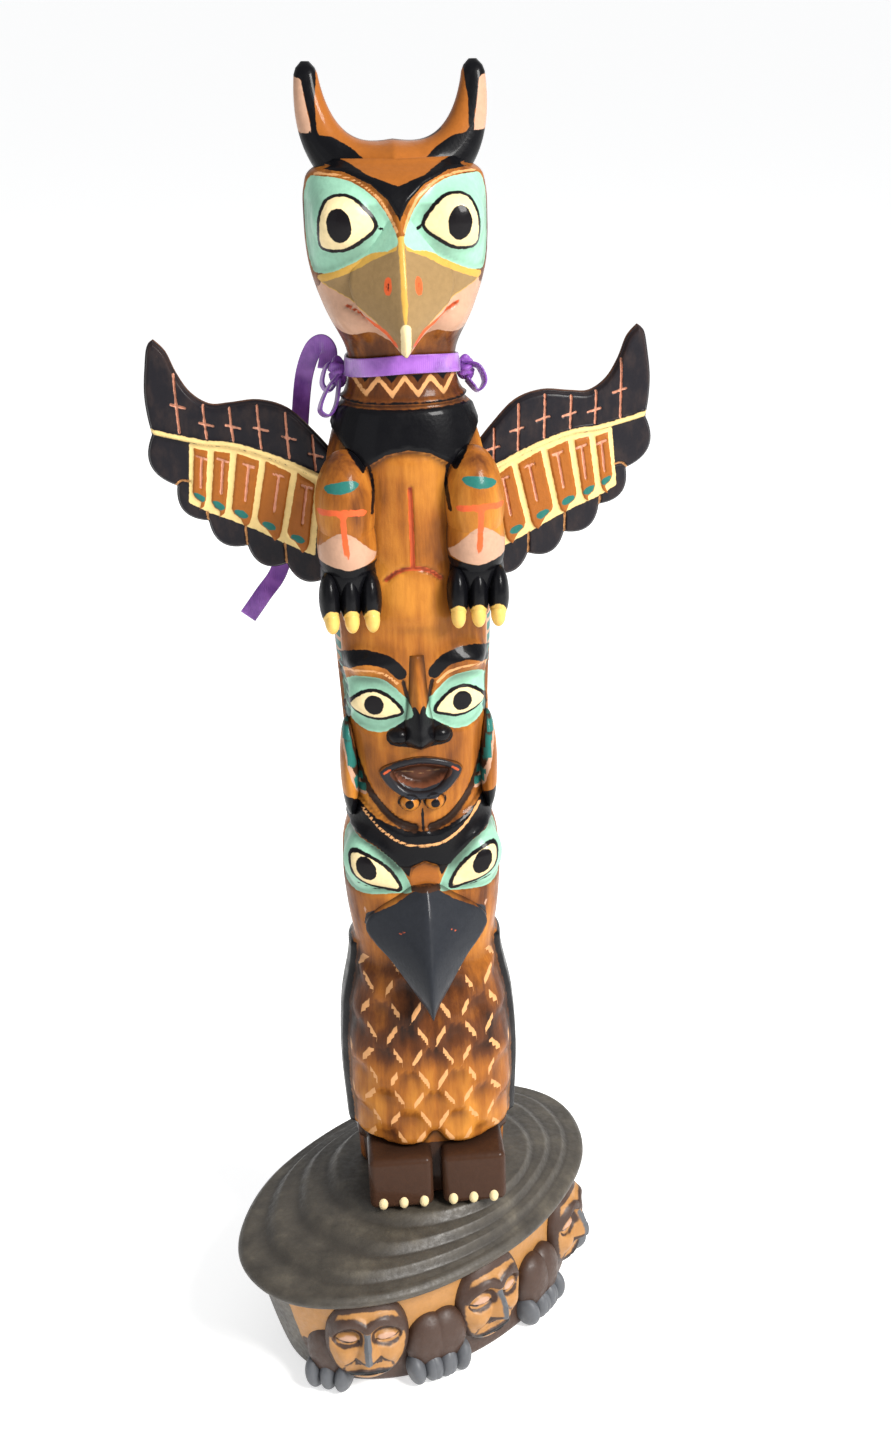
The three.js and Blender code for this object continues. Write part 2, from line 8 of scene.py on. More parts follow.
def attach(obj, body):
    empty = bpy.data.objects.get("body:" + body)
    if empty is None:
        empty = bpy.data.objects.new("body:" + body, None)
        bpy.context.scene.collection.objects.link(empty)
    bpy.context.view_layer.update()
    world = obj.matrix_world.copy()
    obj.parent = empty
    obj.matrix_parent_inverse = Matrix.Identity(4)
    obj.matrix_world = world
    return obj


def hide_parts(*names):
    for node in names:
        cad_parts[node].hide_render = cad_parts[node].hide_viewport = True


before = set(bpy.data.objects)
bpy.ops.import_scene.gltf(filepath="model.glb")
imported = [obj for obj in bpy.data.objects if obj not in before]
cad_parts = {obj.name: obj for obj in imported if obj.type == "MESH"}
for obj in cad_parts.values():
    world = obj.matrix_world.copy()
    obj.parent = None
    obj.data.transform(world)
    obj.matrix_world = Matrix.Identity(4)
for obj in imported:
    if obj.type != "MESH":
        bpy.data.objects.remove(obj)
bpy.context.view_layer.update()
mm = 0.001
print("stage: frame loaded")

# Camera, at the photograph's angle: lengths in millimetres, angles in degrees, the frame in pixels

camera = {
    "distance": 345.22, "height": 255.74, "side": -2.45, "down": 21.0, "swing": -4.41, "roll": -0.69,
    "focal": 2000.0, "frameWide": 891.0, "frameTall": 1446.0, "centreX": 560.0,
    "sensor": 36.0, "nearest": 10.0,
}


def makeCamera(size):
    side, heading = radians(size["side"]), radians(size["side"] + size["swing"])
    down, roll = radians(size["down"]), radians(size["roll"])
    place = Vector((size["distance"] * sin(side), -size["distance"] * cos(side), size["height"])) * mm
    ahead = Vector((-sin(heading) * cos(down), cos(heading) * cos(down), -sin(down)))
    right = Vector((cos(heading), sin(heading), 0))
    up = right.cross(ahead)
    right, up = right * cos(roll) + up * sin(roll), up * cos(roll) - right * sin(roll)
    data = bpy.data.cameras.new("camera")
    data.sensor_fit = "AUTO"
    data.sensor_width = size["sensor"]
    data.lens = size["focal"] / size["frameTall"] * size["sensor"]
    data.shift_x = (size["frameWide"] / 2 - size["centreX"]) / size["frameTall"]
    data.clip_start = size["nearest"] * mm
    eye = bpy.data.objects.new("camera", data)
    bpy.context.scene.collection.objects.link(eye)
    turn = Matrix((right, up, -ahead)).transposed().to_4x4()
    eye.matrix_world = Matrix.Translation(place) @ turn
    bpy.context.scene.camera = eye


makeCamera(camera)

# Shaping helpers: x is the distance from the middle, z the height, all in millimetres.
# A paint field is the distance in from a coat's edge, below nothing outside it

unpainted = -9.0


def clamp(t):
    return np.clip(t, 0.0, 1.0)


def ease(t):
    t = clamp(t)
    return t * t * (3 - 2 * t)


def dome(t):
    return np.where(np.abs(t) < 1, (1 - np.minimum(t * t, 1)) ** 2, 0.0)


def band(t, low, high, soft):
    return ease((t - low) / soft + 0.5) * ease((high - t) / soft + 0.5)


def along(rows, z, column=1):
    heights = np.array([row[0] for row in rows], float)
    values = np.array([row[column] for row in rows], float)
    slopes = np.gradient(values, heights)
    z = np.clip(z, heights[0], heights[-1])
    i = np.clip(np.searchsorted(heights, z, side="right") - 1, 0, len(heights) - 2)
    step = heights[i + 1] - heights[i]
    t = (z - heights[i]) / step
    straight = (values[i + 1] - values[i]) / step
    bend = t * (1 - t) * step * ((1 - t) * (slopes[i] - straight) + t * (straight - slopes[i + 1]))
    return values[i] + (values[i + 1] - values[i]) * t + bend


def smoothCurve(points, closed=False, pieces=5):
    points = np.array(points, float)
    count = len(points)
    made = []
    for i in range(count if closed else count - 1):
        if closed:
            a, b, c, d = (points[(i + k) % count] for k in (-1, 0, 1, 2))
        else:
            a, b, c, d = (points[min(max(i + k, 0), count - 1)] for k in (-1, 0, 1, 2))
        for k in range(pieces):
            t = k / pieces
            made.append(0.5 * (2 * b + (c - a) * t + (2 * a - 5 * b + 4 * c - d) * t ** 2
                               + (3 * b - a - 3 * c + d) * t ** 3))
    if not closed:
        made.append(points[-1])
    return np.array(made)


def lineDistance(x, z, points):
    nearest = np.full(x.shape, 1e6)
    for (ax, az), (bx, bz) in zip(points[:-1], points[1:]):
        dx, dz = bx - ax, bz - az
        t = clamp(((x - ax) * dx + (z - az) * dz) / max(dx * dx + dz * dz, 1e-9))
        nearest = np.minimum(nearest, (x - ax - t * dx) ** 2 + (z - az - t * dz) ** 2)
    return np.sqrt(nearest)


def only(where, field):
    return np.where(where, field, unpainted)


class Brush:
    def __init__(self, x, z, coats=()):
        self.x, self.z = x, z
        self.paint = {name: np.full(x.shape, unpainted) for name in coats}

    def add(self, name, *fields):
        for field in fields:
            self.paint[name] = np.maximum(self.paint[name], field)

    def near(self, points, measure, margin=4.0):
        low, high = points.min(axis=0) - margin, points.max(axis=0) + margin
        near = (self.x > low[0]) & (self.x < high[0]) & (self.z > low[1]) & (self.z < high[1])
        field = np.full(self.x.shape, unpainted)
        field[near] = measure(self.x[near], self.z[near])
        return field

    def stroke(self, points, width):
        points = smoothCurve(points)
        return self.near(points, lambda a, b: width / 2 - lineDistance(a, b, points))

    def shape(self, points):
        return self.patch(smoothCurve(points, closed=True))

    def patch(self, points):
        points = np.array(points, float)
        ring = np.vstack([points, points[:1]])

        def measure(a, b):
            distance = lineDistance(a, b, ring)
            inside = np.zeros(a.shape, bool)
            for (ax, az), (bx, bz) in zip(ring[:-1], ring[1:]):
                if az != bz:
                    inside ^= ((az > b) != (bz > b)) & (a < (bx - ax) * (b - az) / (bz - az) + ax)
            return np.where(inside, distance, -distance)

        return self.near(ring, measure)

    def oval(self, side, level, wide, tall, tilt=0.0):
        c, s = cos(radians(tilt)), sin(radians(tilt))
        a = (self.x - side) * c + (self.z - level) * s
        b = (self.z - level) * c - (self.x - side) * s
        size = np.hypot(a / wide, b / tall)
        slope = np.hypot(a / wide ** 2, b / tall ** 2) / np.maximum(size, 1e-6)
        return (1 - size) / np.maximum(slope, 1 / max(wide, tall))


# Mesh helpers


def deselectAll():
    if bpy.context.object and bpy.context.object.mode != "OBJECT":
        bpy.ops.object.mode_set(mode="OBJECT")
    bpy.ops.object.select_all(action="DESELECT")


def readPlaces(piece):
    places = np.empty(len(piece.data.vertices) * 3)
    piece.data.vertices.foreach_get("co", places)
    return places.reshape(-1, 3)


def writePlaces(piece, places):
    piece.data.vertices.foreach_set("co", (places.reshape(-1) * mm).astype(np.float32))


def writeLayers(piece, layers):
    for name, values in layers.items():
        attribute = piece.data.attributes.new(name, "FLOAT", "POINT")
        attribute.data.foreach_set("value", values.reshape(-1).astype(np.float32))


def ballPiece(segments, rings):
    deselectAll()
    bpy.ops.mesh.primitive_uv_sphere_add(segments=segments, ring_count=rings, radius=1)
    bpy.ops.object.shade_smooth()
    return bpy.context.object


# A grid whose rows run round a form: each row is closed on itself, and caps close its two ends
def gridPiece(name, places, layers=None, caps=True):
    deselectAll()
    places = np.concatenate([places, places[:, :1]], axis=1)
    rows, columns = places.shape[:2]
    bpy.ops.mesh.primitive_grid_add(x_subdivisions=columns - 1, y_subdivisions=rows - 1, size=1)
    piece = bpy.context.object
    piece.name = piece.data.name = name
    writePlaces(piece, places)
    writeLayers(piece, {key: np.concatenate([v, v[:, :1]], axis=1) for key, v in (layers or {}).items()})
    while piece.data.uv_layers:
        piece.data.uv_layers.remove(piece.data.uv_layers[0])
    bpy.ops.object.mode_set(mode="EDIT")
    bpy.ops.mesh.select_all(action="SELECT")
    bpy.ops.mesh.remove_doubles(threshold=1e-6)
    if caps:
        bpy.ops.mesh.fill_holes(sides=0)
        bpy.ops.mesh.normals_make_consistent(inside=False)
    bpy.ops.object.mode_set(mode="OBJECT")
    bpy.ops.object.shade_smooth()
    return piece


def joinPieces(pieces, name):
    deselectAll()
    for piece in pieces:
        piece.select_set(True)
    bpy.context.view_layer.objects.active = pieces[0]
    bpy.ops.object.join()
    pieces[0].name = pieces[0].data.name = name
    return pieces[0]


def loftPlaces(route, across, upward, wide, tall, power, points):
    angles = np.linspace(0, 2 * pi, points, endpoint=False)
    c, s = np.cos(angles), np.sin(angles)
    c, s = np.sign(c) * np.abs(c) ** (2 / power), np.sign(s) * np.abs(s) ** (2 / power)
    return (route[:, None] + across[:, None] * (wide[:, None] * c)[..., None]
            + upward[:, None] * (tall[:, None] * s)[..., None])


# The pole: three carved figures in one casting, whose own heights start at the lift

poleSize = {
    "lift": 31.3, "height": 196.0, "columns": 164, "rows": 390, "crowding": 0.09, "blend": 1.6,
    "smoothing": 7,
    # height, half width, depth in front, depth behind
    "outline": [
        (0, 14.4, 14.6, 13.5), (13, 15.2, 14.6, 13), (28, 15.8, 15.6, 13), (38, 15.2, 14.6, 12.6),
        (50, 13.2, 12.8, 11.5), (58, 14.2, 13.6, 12), (66, 14.7, 14, 12.6), (72, 14.3, 13.4, 12.4),
        (79, 12.2, 13, 11.6), (88, 12.8, 14, 11.6), (96, 13.2, 14, 11.8), (108, 13.8, 13.8, 12),
        (116, 14.2, 13.4, 12), (128, 14.9, 12.6, 12), (138, 14.5, 12.4, 12), (146, 13.1, 12.2, 11.4),
        (152, 11.2, 11.2, 10.4), (158, 9.1, 9.2, 9.2), (162, 9.3, 9.4, 9.2), (168, 12.2, 11, 10.8),
        (176, 14.8, 13, 12.2), (184, 15.4, 13.6, 12.6), (190, 15, 12, 11.4),
        (194, 13.4, 8.6, 9.4), (196, 9, 5, 6.4),
    ],
    # side, forward, height, half width, half depth, half height
    "lumps": [
        (8.9, 9.1, 184.5, 5.8, 5.2, 5.6), (6.6, 6.8, 169.6, 4.9, 5.4, 4.8), (7.4, 9.2, 101.7, 5.6, 3.6, 4.4),
        (7.4, 10.8, 108.8, 5.6, 3.6, 2.2), (9.6, 8.8, 70, 6, 5, 6),
    ],
    "hem": 12.6, "bodyTop": 48, "featherRow": 9, "featherColumn": 8.8, "wingTop": 51, "wingSine": 0.93,
    # where the cap of the head starts, and how far forward the beaks and feet start inside the trunk
    "capFoot": 188, "heart": 6,
    # how far each painted field or form stands out or is cut in
    "relief": {
        "black": 0.9, "amber": 0.7, "mint": 0.5, "cream": 0.35, "red": 0.5, "groove": 0.55, "belly": 0.8,
        "mouth": 2.2, "feather": 1.1, "hem": 1.4, "sideWing": 1.2,
    },
    # change of the stain's tone, from and to which height, softness of the edges
    "plainTone": 0.56,
    "tones": [
        (0.17, 112, 146, 6), (0.2, 78, 112, 6), (0.16, 10, 30, 8), (-0.22, 30, 50, 6), (-0.1, 161, 168, 3),
    ],
    # middle and half height of each pair of eyes, in the object's heights
    "eyeRows": [(215.4, 10.4), (132.6, 7), (100.6, 7.4)],
}
# Upper edge of the horned bird's brow, from the side to past the middle
browTop = [(13.6, 229), (10, 228.4), (6.9, 226.6), (4.2, 224.2), (0, 222), (-3, 222)]
clawSides = (7.4, 10.9, 14.3)
nailSides = (2.8, 6.7, 10.6)
# Forms joined to the pole on both sides: side, forward, height, half width, half depth, half height, columns
armForms = [(11, 10.8, 137, 5.2, 7, 9.8, 56), (11, 10.7, 130.4, 5.2, 6.7, 9.6, 48),
            (11, 10.6, 125.2, 4.9, 6.1, 7.4, 56)]
toeForms = [(side, 14.2, 121.6, 1.9, 3.7, 5, 24) for side in (7.5, 11, 14.5)]
clawForms = [(side, 15.9, 118.2, 1.3, 1.9, 2.3, 20) for side in clawSides]
nailForms = [(side, 18.1, 1.6, 0.95, 1.1, 1.35, 16) for side in nailSides]
faceForms = [(3.6, 12.8, 95.6, 2.2, 2.4, 1.8, 32), (2.2, 12.9, 82.8, 1.9, 2.3, 1.8, 28),
             (12.6, 6.4, 87.6, 1.7, 4.4, 9.6, 28)]
# height, reach of the ridge, half width, reach of the sides
beaks = {
    "bird": [(163.6, 19.6, 0.5, 18), (166, 21, 2.4, 17), (170, 20.8, 6.6, 14.4), (175, 19.8, 8.6, 12.4),
             (180, 17.6, 6, 12), (186.4, 13.8, 1.4, 12)],
    "nose": [(93.6, 15.8, 2.2, 14), (94.6, 17.4, 3, 14), (97, 17.6, 2.7, 14), (102, 16.4, 1.9, 13.9),
             (110.5, 14.4, 1.6, 13.4)],
    "raven": [(44.4, 25.2, 0.5, 22.6), (48, 24.8, 3.4, 19.6), (52, 23.8, 6.6, 16.4), (57.4, 21.2, 11.2, 12.2),
              (61.6, 19, 8.6, 13), (66.4, 16, 2.2, 14)],
}
lips = {"level": 87.5, "wide": 6.2, "tall": 3.5, "thick": 0.75, "forward": 13.7, "lift": 1.1}
foot = {"side": 0.9, "wide": 12.2, "top": 11, "forward": 18.5}


def lumpReach(sine, cosine, h, lump):
    side, forward, level, wide, deep, tall = lump
    room = np.sqrt(np.maximum(1 - ((h - level) / tall) ** 2, 1e-6))
    a, b = wide * room, deep * room
    square = (sine / a) ** 2 + (cosine / b) ** 2
    cross = sine * side / a ** 2 + cosine * forward / b ** 2
    inside = cross ** 2 - square * ((side / a) ** 2 + (forward / b) ** 2 - 1)
    far = (cross + np.sqrt(np.maximum(inside, 0))) / square
    return np.where((inside > 0) & (np.abs(h - level) < tall), far, 0.0)


def featherField(x, h, size):
    row, column = size["featherRow"], size["featherColumn"]
    below, across = np.full(x.shape, 9.0), np.zeros(x.shape)
    for odd in (0, 1):
        offset = np.abs((x / column + odd / 2 + 50.5) % 1 - 0.5) * 2
        edge = size["hem"] + row * (odd * 0.5 + 0.75 * offset - 0.8)
        gone = (h - edge) / row
        gone = gone - np.floor(gone)
        across = np.where(gone < below, offset, across)
        below = np.minimum(below, gone)
    return below, across


# Coats in the order they go on
figureCoats = ["amber", "pale", "gold", "ochre", "slate", "black", "deep", "dusk", "tan", "mint", "cream",
               "claw", "red", "teal", "ink"]


# The horned bird's eyes, brows, horns, beak and cheeks. Painted places are heights above the floor
def paintBird(brush):
    brush.add("mint", brush.shape([
        (0.5, 213.4), (3, 218.4), (7.2, 222.7), (12.2, 223.8), (16.2, 222.2), (17.4, 212.4), (15.4, 207.6),
        (12.6, 207.2), (8.4, 209), (4.6, 211), (2, 211.6)]))
    eye = brush.shape([
        (3.9, 215.2), (6, 218.4), (8.8, 220.3), (11.6, 219.6), (13.2, 216.6), (13.4, 212.6), (12.6, 211.3),
        (9.6, 211.3), (6.8, 212.6)])
    brush.add("cream", eye)
    brush.add("ink", brush.oval(9.9, 215.4, 2, 2.8, -6), brush.stroke([(3.9, 215.2), (2.9, 214.6)], 0.5))
    crest = brush.patch(browTop[::-1] + [(18, 229), (18, 246), (-3, 246)])
    brow = brush.patch([
        (-3, 216), (0, 216), (1.6, 219), (4.2, 222.4), (8, 224.8), (12, 225.4), (15.6, 224.4), (18, 223.6),
        (18, 229)] + browTop)
    horn = brush.patch([
        (11.8, 246), (18, 246), (18, 238.4), (14.6, 237.4), (14.1, 234), (13.5, 231), (13.1, 226),
        (12.3, 226), (12.5, 231), (12.6, 234), (12.2, 237)])
    brush.add("black", brow, horn, brush.stroke([(16, 228), (16.5, 222), (16.6, 214), (16, 208)], 1.1))
    brush.add("tan", brush.stroke([
        (0.6, 214.4), (2.7, 218.8), (6.8, 223.2), (12.2, 224.4), (16, 223)], 0.5))
    brush.add("amber", np.minimum(crest, -horn))
    lining = brush.shape([(14.4, 237.4), (18, 238.4), (18, 228.4), (13, 228.4), (13.5, 231), (14, 234)])
    brush.add("pale", np.minimum(-horn, lining - 0.1))
    beak = brush.patch([
        (-3, 214), (0.5, 213.8), (2, 212), (4.8, 210.8), (8.4, 208.8), (12.6, 207), (13.2, 205.6),
        (8.6, 203.4), (5, 200.6), (2.4, 198), (0.9, 195.6), (-3, 195.4)])
    brush.add("gold", beak, brush.stroke([(2, 212), (4.8, 210.8), (8.6, 208.6), (13.2, 206.4)], 1.0))
    hem = brush.stroke([(1.6, 212.4), (4.8, 210.9), (8.6, 208.7), (13.2, 206.6)], 1.7)
    brush.add("ochre", np.minimum(beak, -hem) - 0.1)
    # The ridge down the beak's middle is kept gold as a painted highlight, with ochre either side.
    ridge = brush.x - 0.5 + 0.35 * clamp((203 - brush.z) / 3)
    brush.paint["ochre"] = np.minimum(brush.paint["ochre"], ridge)
    brush.add("pale", brush.shape([
        (8.6, 205.6), (11.6, 206), (13.6, 205), (13.2, 200.4), (11, 197.8), (8.4, 197.2), (5.4, 197.8),
        (2.4, 196.2), (0.8, 195), (2.2, 198.4), (4.8, 200.8)]))
    brush.add("red", brush.oval(2.5, 206.2, 0.62, 1.5, 6),
              brush.stroke([(1.5, 196.6), (3, 198.6), (5.4, 200.2), (9.4, 202.4)], 0.55))
    brush.add("ink", brush.oval(2.6, 206, 0.25, 0.8, 6))
    brush.add("cream", brush.stroke([(0, 199.6), (0, 195.8)], 1.7))
    return eye


# The zigzag round the neck, and the dark collar below it
zigzag = {"low": 186, "high": 190.4, "trough": 186.9, "tall": 2.8, "pitch": 4.4}


def paintNeck(brush, cosine):
    tooth = np.abs((brush.x / zigzag["pitch"]) % 1 - 0.5) * 2
    zig = brush.z - zigzag["trough"] - zigzag["tall"] * tooth
    inBand = (brush.z > zigzag["low"]) & (brush.z < zigzag["high"])
    brush.add("tan", only(inBand, 0.34 - np.abs(zig) * 0.62))
    brush.add("black", only(inBand, (zig - 1.9) * 0.5), brush.stroke([(0, 185.7), (12, 185.7)], 0.45))
    collar = brush.patch([
        (-2, 184.6), (9.4, 184.8), (12.9, 183.2), (12.2, 180.6), (9.6, 177.2), (7.8, 174.6), (6, 175.8),
        (3.4, 177.4), (0, 178), (-2, 178)])
    brush.add("black", only(cosine > 0, collar))


# The mark on the chest, and the arms with their paws and claws
def paintChest(brush, h, sine, cosine, reach, size):
    bare = plainReach(sine, cosine, np.clip(h, 0, size["height"]), size)
    onArm = np.where((reach > bare + 0.3) & (cosine > 0), -unpainted, unpainted)
    brush.add("red", brush.stroke([(0, 171.4), (0, 157.6)], 0.75),
              brush.stroke([(0, 157.5), (2.4, 157), (4.7, 155.4)], 0.75),
              np.minimum(onArm, brush.stroke([(8, 168.6), (11.6, 169), (15.4, 168.6)], 1.1)),
              np.minimum(onArm, brush.stroke([(11.6, 168.4), (11.5, 164.6), (11.2, 161.2)], 1.0)))
    brush.add("teal", np.minimum(onArm, brush.oval(11.6, 173, 3, 0.95, -8)))
    brush.add("ink", brush.stroke([(6.6, 168), (6.2, 172), (6.8, 176)], 0.6))
    wrist = brush.shape([(7.4, 162), (11.6, 165.4), (15.8, 162.4), (17, 160), (11.6, 158.6), (6.2, 160)])
    brush.add("pale", np.minimum(onArm, wrist))
    paw = brush.patch([(4.6, 159.8), (11, 158.6), (18, 160.2), (18.4, 147), (4, 147)])
    brush.add("black", np.minimum(onArm, paw))
    for side in clawSides:
        brush.add("claw", only(reach > 16.4, brush.oval(side, 149, 1.6, 2.8)))


# The human face: brows, eyes, nose, mouth and the strands of hair with beads at its sides
def paintFace(brush, cosine):
    brush.add("black", brush.stroke([
        (3, 138.6), (5.2, 140.8), (8.6, 141.6), (11.2, 141), (13.2, 139.2)], 2.1) + 0.1)
    brush.add("tan", brush.stroke([
        (3.4, 136.6), (5.8, 138.6), (8.8, 139.3), (11.4, 138.8), (13.2, 137.2)], 0.5))
    brush.add("mint", brush.shape([
        (1.1, 131.6), (3.2, 135), (6.6, 137.6), (10.8, 137.5), (13.6, 134.4), (13.6, 130.4), (10.6, 127.8),
        (7, 127.4), (3.8, 129)]))
    look = brush.shape([
        (2.9, 131.4), (5, 134), (7.8, 135.3), (10.6, 134.4), (12.4, 132), (9.8, 130.3), (7.2, 129.9),
        (5, 130.4)])
    brush.add("cream", look)
    brush.add("ink", brush.oval(7.9, 132.6, 1.75, 1.85))
    # Black over the lower nose and beside it: partly the nose's black paint and partly painted shade.
    brush.add("black", brush.shape([
        (0.6, 133), (1.8, 131.4), (3.8, 129), (5.8, 127.4), (5.4, 125.4), (2.6, 124.8), (-1, 125),
        (-1, 129.4)]))
    # Slate over the lips, a painted sheen: their grey gloss is painted as their colour.
    brush.add("slate", brush.shape([
        (-3, 122.9), (0, 122.9), (3.2, 122.4), (5.6, 121.4), (7.3, 119.9), (5.8, 117.4), (3, 115.2),
        (0, 114.7), (-3, 114.7)]))
    brush.add("deep", brush.shape([
        (-3, 121.3), (0, 121.3), (2.8, 120.9), (5.6, 119.8), (3.4, 117.4), (0, 116.4), (-3, 116.4)]))
    brush.add("tan", brush.stroke([(0, 118.9), (2.4, 119.1), (4, 119.4)], 0.35))
    brush.add("red", brush.stroke([(5.6, 120.6), (6.6, 119.9)], 0.5))
    outer = [(13.6, 137), (13.2, 130), (12.6, 125), (11.4, 120), (9.2, 114.8), (5.4, 110.4), (1.6, 108.6)]
    # A dark brown band along the face's outer edge and beside the bridge of the nose, partly paint and partly
    # painted shade.
    brush.add("dusk", brush.stroke(outer, 1.5), brush.stroke([(1.5, 132), (2.6, 137)], 0.7))
    lobe = brush.oval(2.3, 114.1, 1.9, 1.75)
    brush.add("ink", brush.oval(2.3, 114.1, 0.8, 0.85), 0.2 - np.abs(lobe),
              brush.stroke([(0, 112.4), (0, 108.4)], 0.5))
    strand = brush.stroke([(13.8, 146), (13.6, 138), (13.4, 130), (12.2, 121), (10.6, 115)], 1.9)
    strand = np.minimum(strand, (cosine - 0.16) * 12)
    brush.add("pale", strand)
    beads = Brush(brush.z % 2.2, 0 * brush.x).oval(1.1, 0, 0.75, 1.0)
    brush.add("teal", only(strand > 0.1, beads))
    return look


# The lower bird's brows, eyes and beak
def paintRaven(brush):
    brush.add("black", brush.patch([
        (-2, 108), (3, 108.2), (8, 110.4), (12.4, 114), (15.8, 114.8), (16, 106.8), (12, 107.2),
        (8.4, 105.4), (5.2, 102.2), (3, 99), (2.4, 101.4), (0, 102.4), (-2, 102.4)]))
    brush.add("tan", brush.stroke([(0, 105.4), (3.4, 106), (7, 108.4), (10, 111.6)], 0.5))
    brush.add("mint", brush.shape([
        (2.6, 97), (4.8, 101.6), (8.2, 104.8), (12, 106.4), (16, 106.4), (16.6, 97), (13.2, 95),
        (8.4, 95.6), (4.2, 96.2)]))
    glance = brush.shape([
        (4.6, 96.8), (6.4, 100.4), (9.2, 103), (12.6, 104.4), (13.8, 103), (13.2, 99.8), (10.8, 97.8),
        (7.6, 96.9)])
    brush.add("cream", glance)
    brush.add("ink", brush.oval(10.7, 101.2, 1.7, 2.5, -24),
              brush.stroke([(4.4, 97.2), (8, 96.4), (12.6, 97.6)], 0.35))
    brush.add("slate", brush.patch([
        (-3, 98), (1, 97.8), (5, 94.8), (11, 91), (11.4, 88.6), (9.4, 86), (6.6, 82.6), (3.4, 79),
        (1.4, 76), (0, 75), (-3, 75)]))
    brush.add("red", brush.stroke([(4.4, 90), (5.2, 89.5)], 0.35))
    brush.add("pale", brush.stroke([(11.4, 92), (9.6, 88.4), (6.8, 84.4)], 0.4))
    brush.add("amber", brush.shape([(-1, 101.4), (1.8, 101), (2.8, 97.8), (2.6, 96.6), (-1, 96.8)]))
    # Painted shade: a dark brown line above the beak.
    brush.add("dusk", brush.stroke([(-1, 97.6), (2.6, 97.2)], 0.8))
    return glance


# The feathered body's tips, the shadow below them and the nails of the feet
def paintBody(brush, h, sine, cosine, reach, size):
    below, across = featherField(brush.x, h, size)
    onBody = (h > size["hem"] - 0.4) & (h < size["bodyTop"] + 2) & (sine < size["wingSine"]) & (cosine > 0)
    onBody &= brush.paint["slate"] < -0.3
    fleck = 0.75 - np.abs(below * size["featherRow"] - 0.8) * 0.8 - 1.6 * clamp(np.abs(across - 0.36) - 0.14)
    brush.add("tan", only(onBody & (across > 0.1) & (across < 0.62), fleck * 0.6))
    brush.add("dusk", size["hem"] - 1.4 - h - np.where(cosine < -0.2, 9, 0))
    for side in nailSides:
        brush.add("cream", only((reach > 17) & (h < 6), brush.oval(side, 33, 1.3, 1.8)))


def paintFigures(x, h, sine, cosine, reach, size):
    z = h + size["lift"]
    brush = Brush(x, z, figureCoats)
    birdEye = paintBird(brush)
    paintNeck(brush, cosine)
    paintChest(brush, h, sine, cosine, reach, size)
    faceEye = paintFace(brush, cosine)
    ravenEye = paintRaven(brush)
    paintBody(brush, h, sine, cosine, reach, size)
    # paint stops at the figures' sides, earlier beside the eyes and later on the horns
    front = (cosine - 0.04) * 14
    for middle, half in size["eyeRows"]:
        away = np.abs(z - middle) / half
        front = np.where(away < 1, np.minimum(front, (cosine - 0.04 - 0.4 * away ** 3) * 14), front)
    front = np.where(z > 229.4, (cosine + 0.3) * 14, front)
    for name in figureCoats:
        limit = np.where(z > 231, -unpainted, front) if name == "black" else front
        brush.paint[name] = np.minimum(brush.paint[name], limit)
    wingEdge = (sine - size["wingSine"] + np.where(cosine < 0, 0.62, 0)) * 14
    brush.add("black", only((h > 8) & (h < size["wingTop"] + 2), np.minimum(wingEdge, size["wingTop"] - h)))
    eyes = np.where(z > 205, birdEye, np.where(z > 118, faceEye, ravenEye))
    brush.paint["rim"] = only(cosine > 0, eyes)
    return brush.paint


def plainReach(sine, cosine, h, size):
    wide = along(size["outline"], h, 1)
    deep = np.where(cosine > 0, along(size["outline"], h, 2), along(size["outline"], h, 3))
    power = 2.4 + 0.1 * np.tanh(cosine * 4)
    return ((sine / wide) ** power + (np.abs(cosine) / deep) ** power) ** (-1 / power)


def spread(field, steps):
    for _ in range(steps):
        across = (np.roll(field, 1, 1) + np.roll(field, -1, 1) + field) / 3
        padded = np.pad(across, ((1, 1), (0, 0)), mode="edge")
        field = (padded[:-2] + padded[1:-1] + padded[2:]) / 3
    return field


def figureTone(h, cosine, size):
    tone = size["plainTone"]
    for change, low, high, soft in size["tones"]:
        tone = tone + change * band(h, low, high, soft)
    # Painted shade: the tone darkens towards the sides and back, where the figures turn from the light.
    return tone * (0.7 + 0.3 * ease((cosine + 0.3) / 0.6))


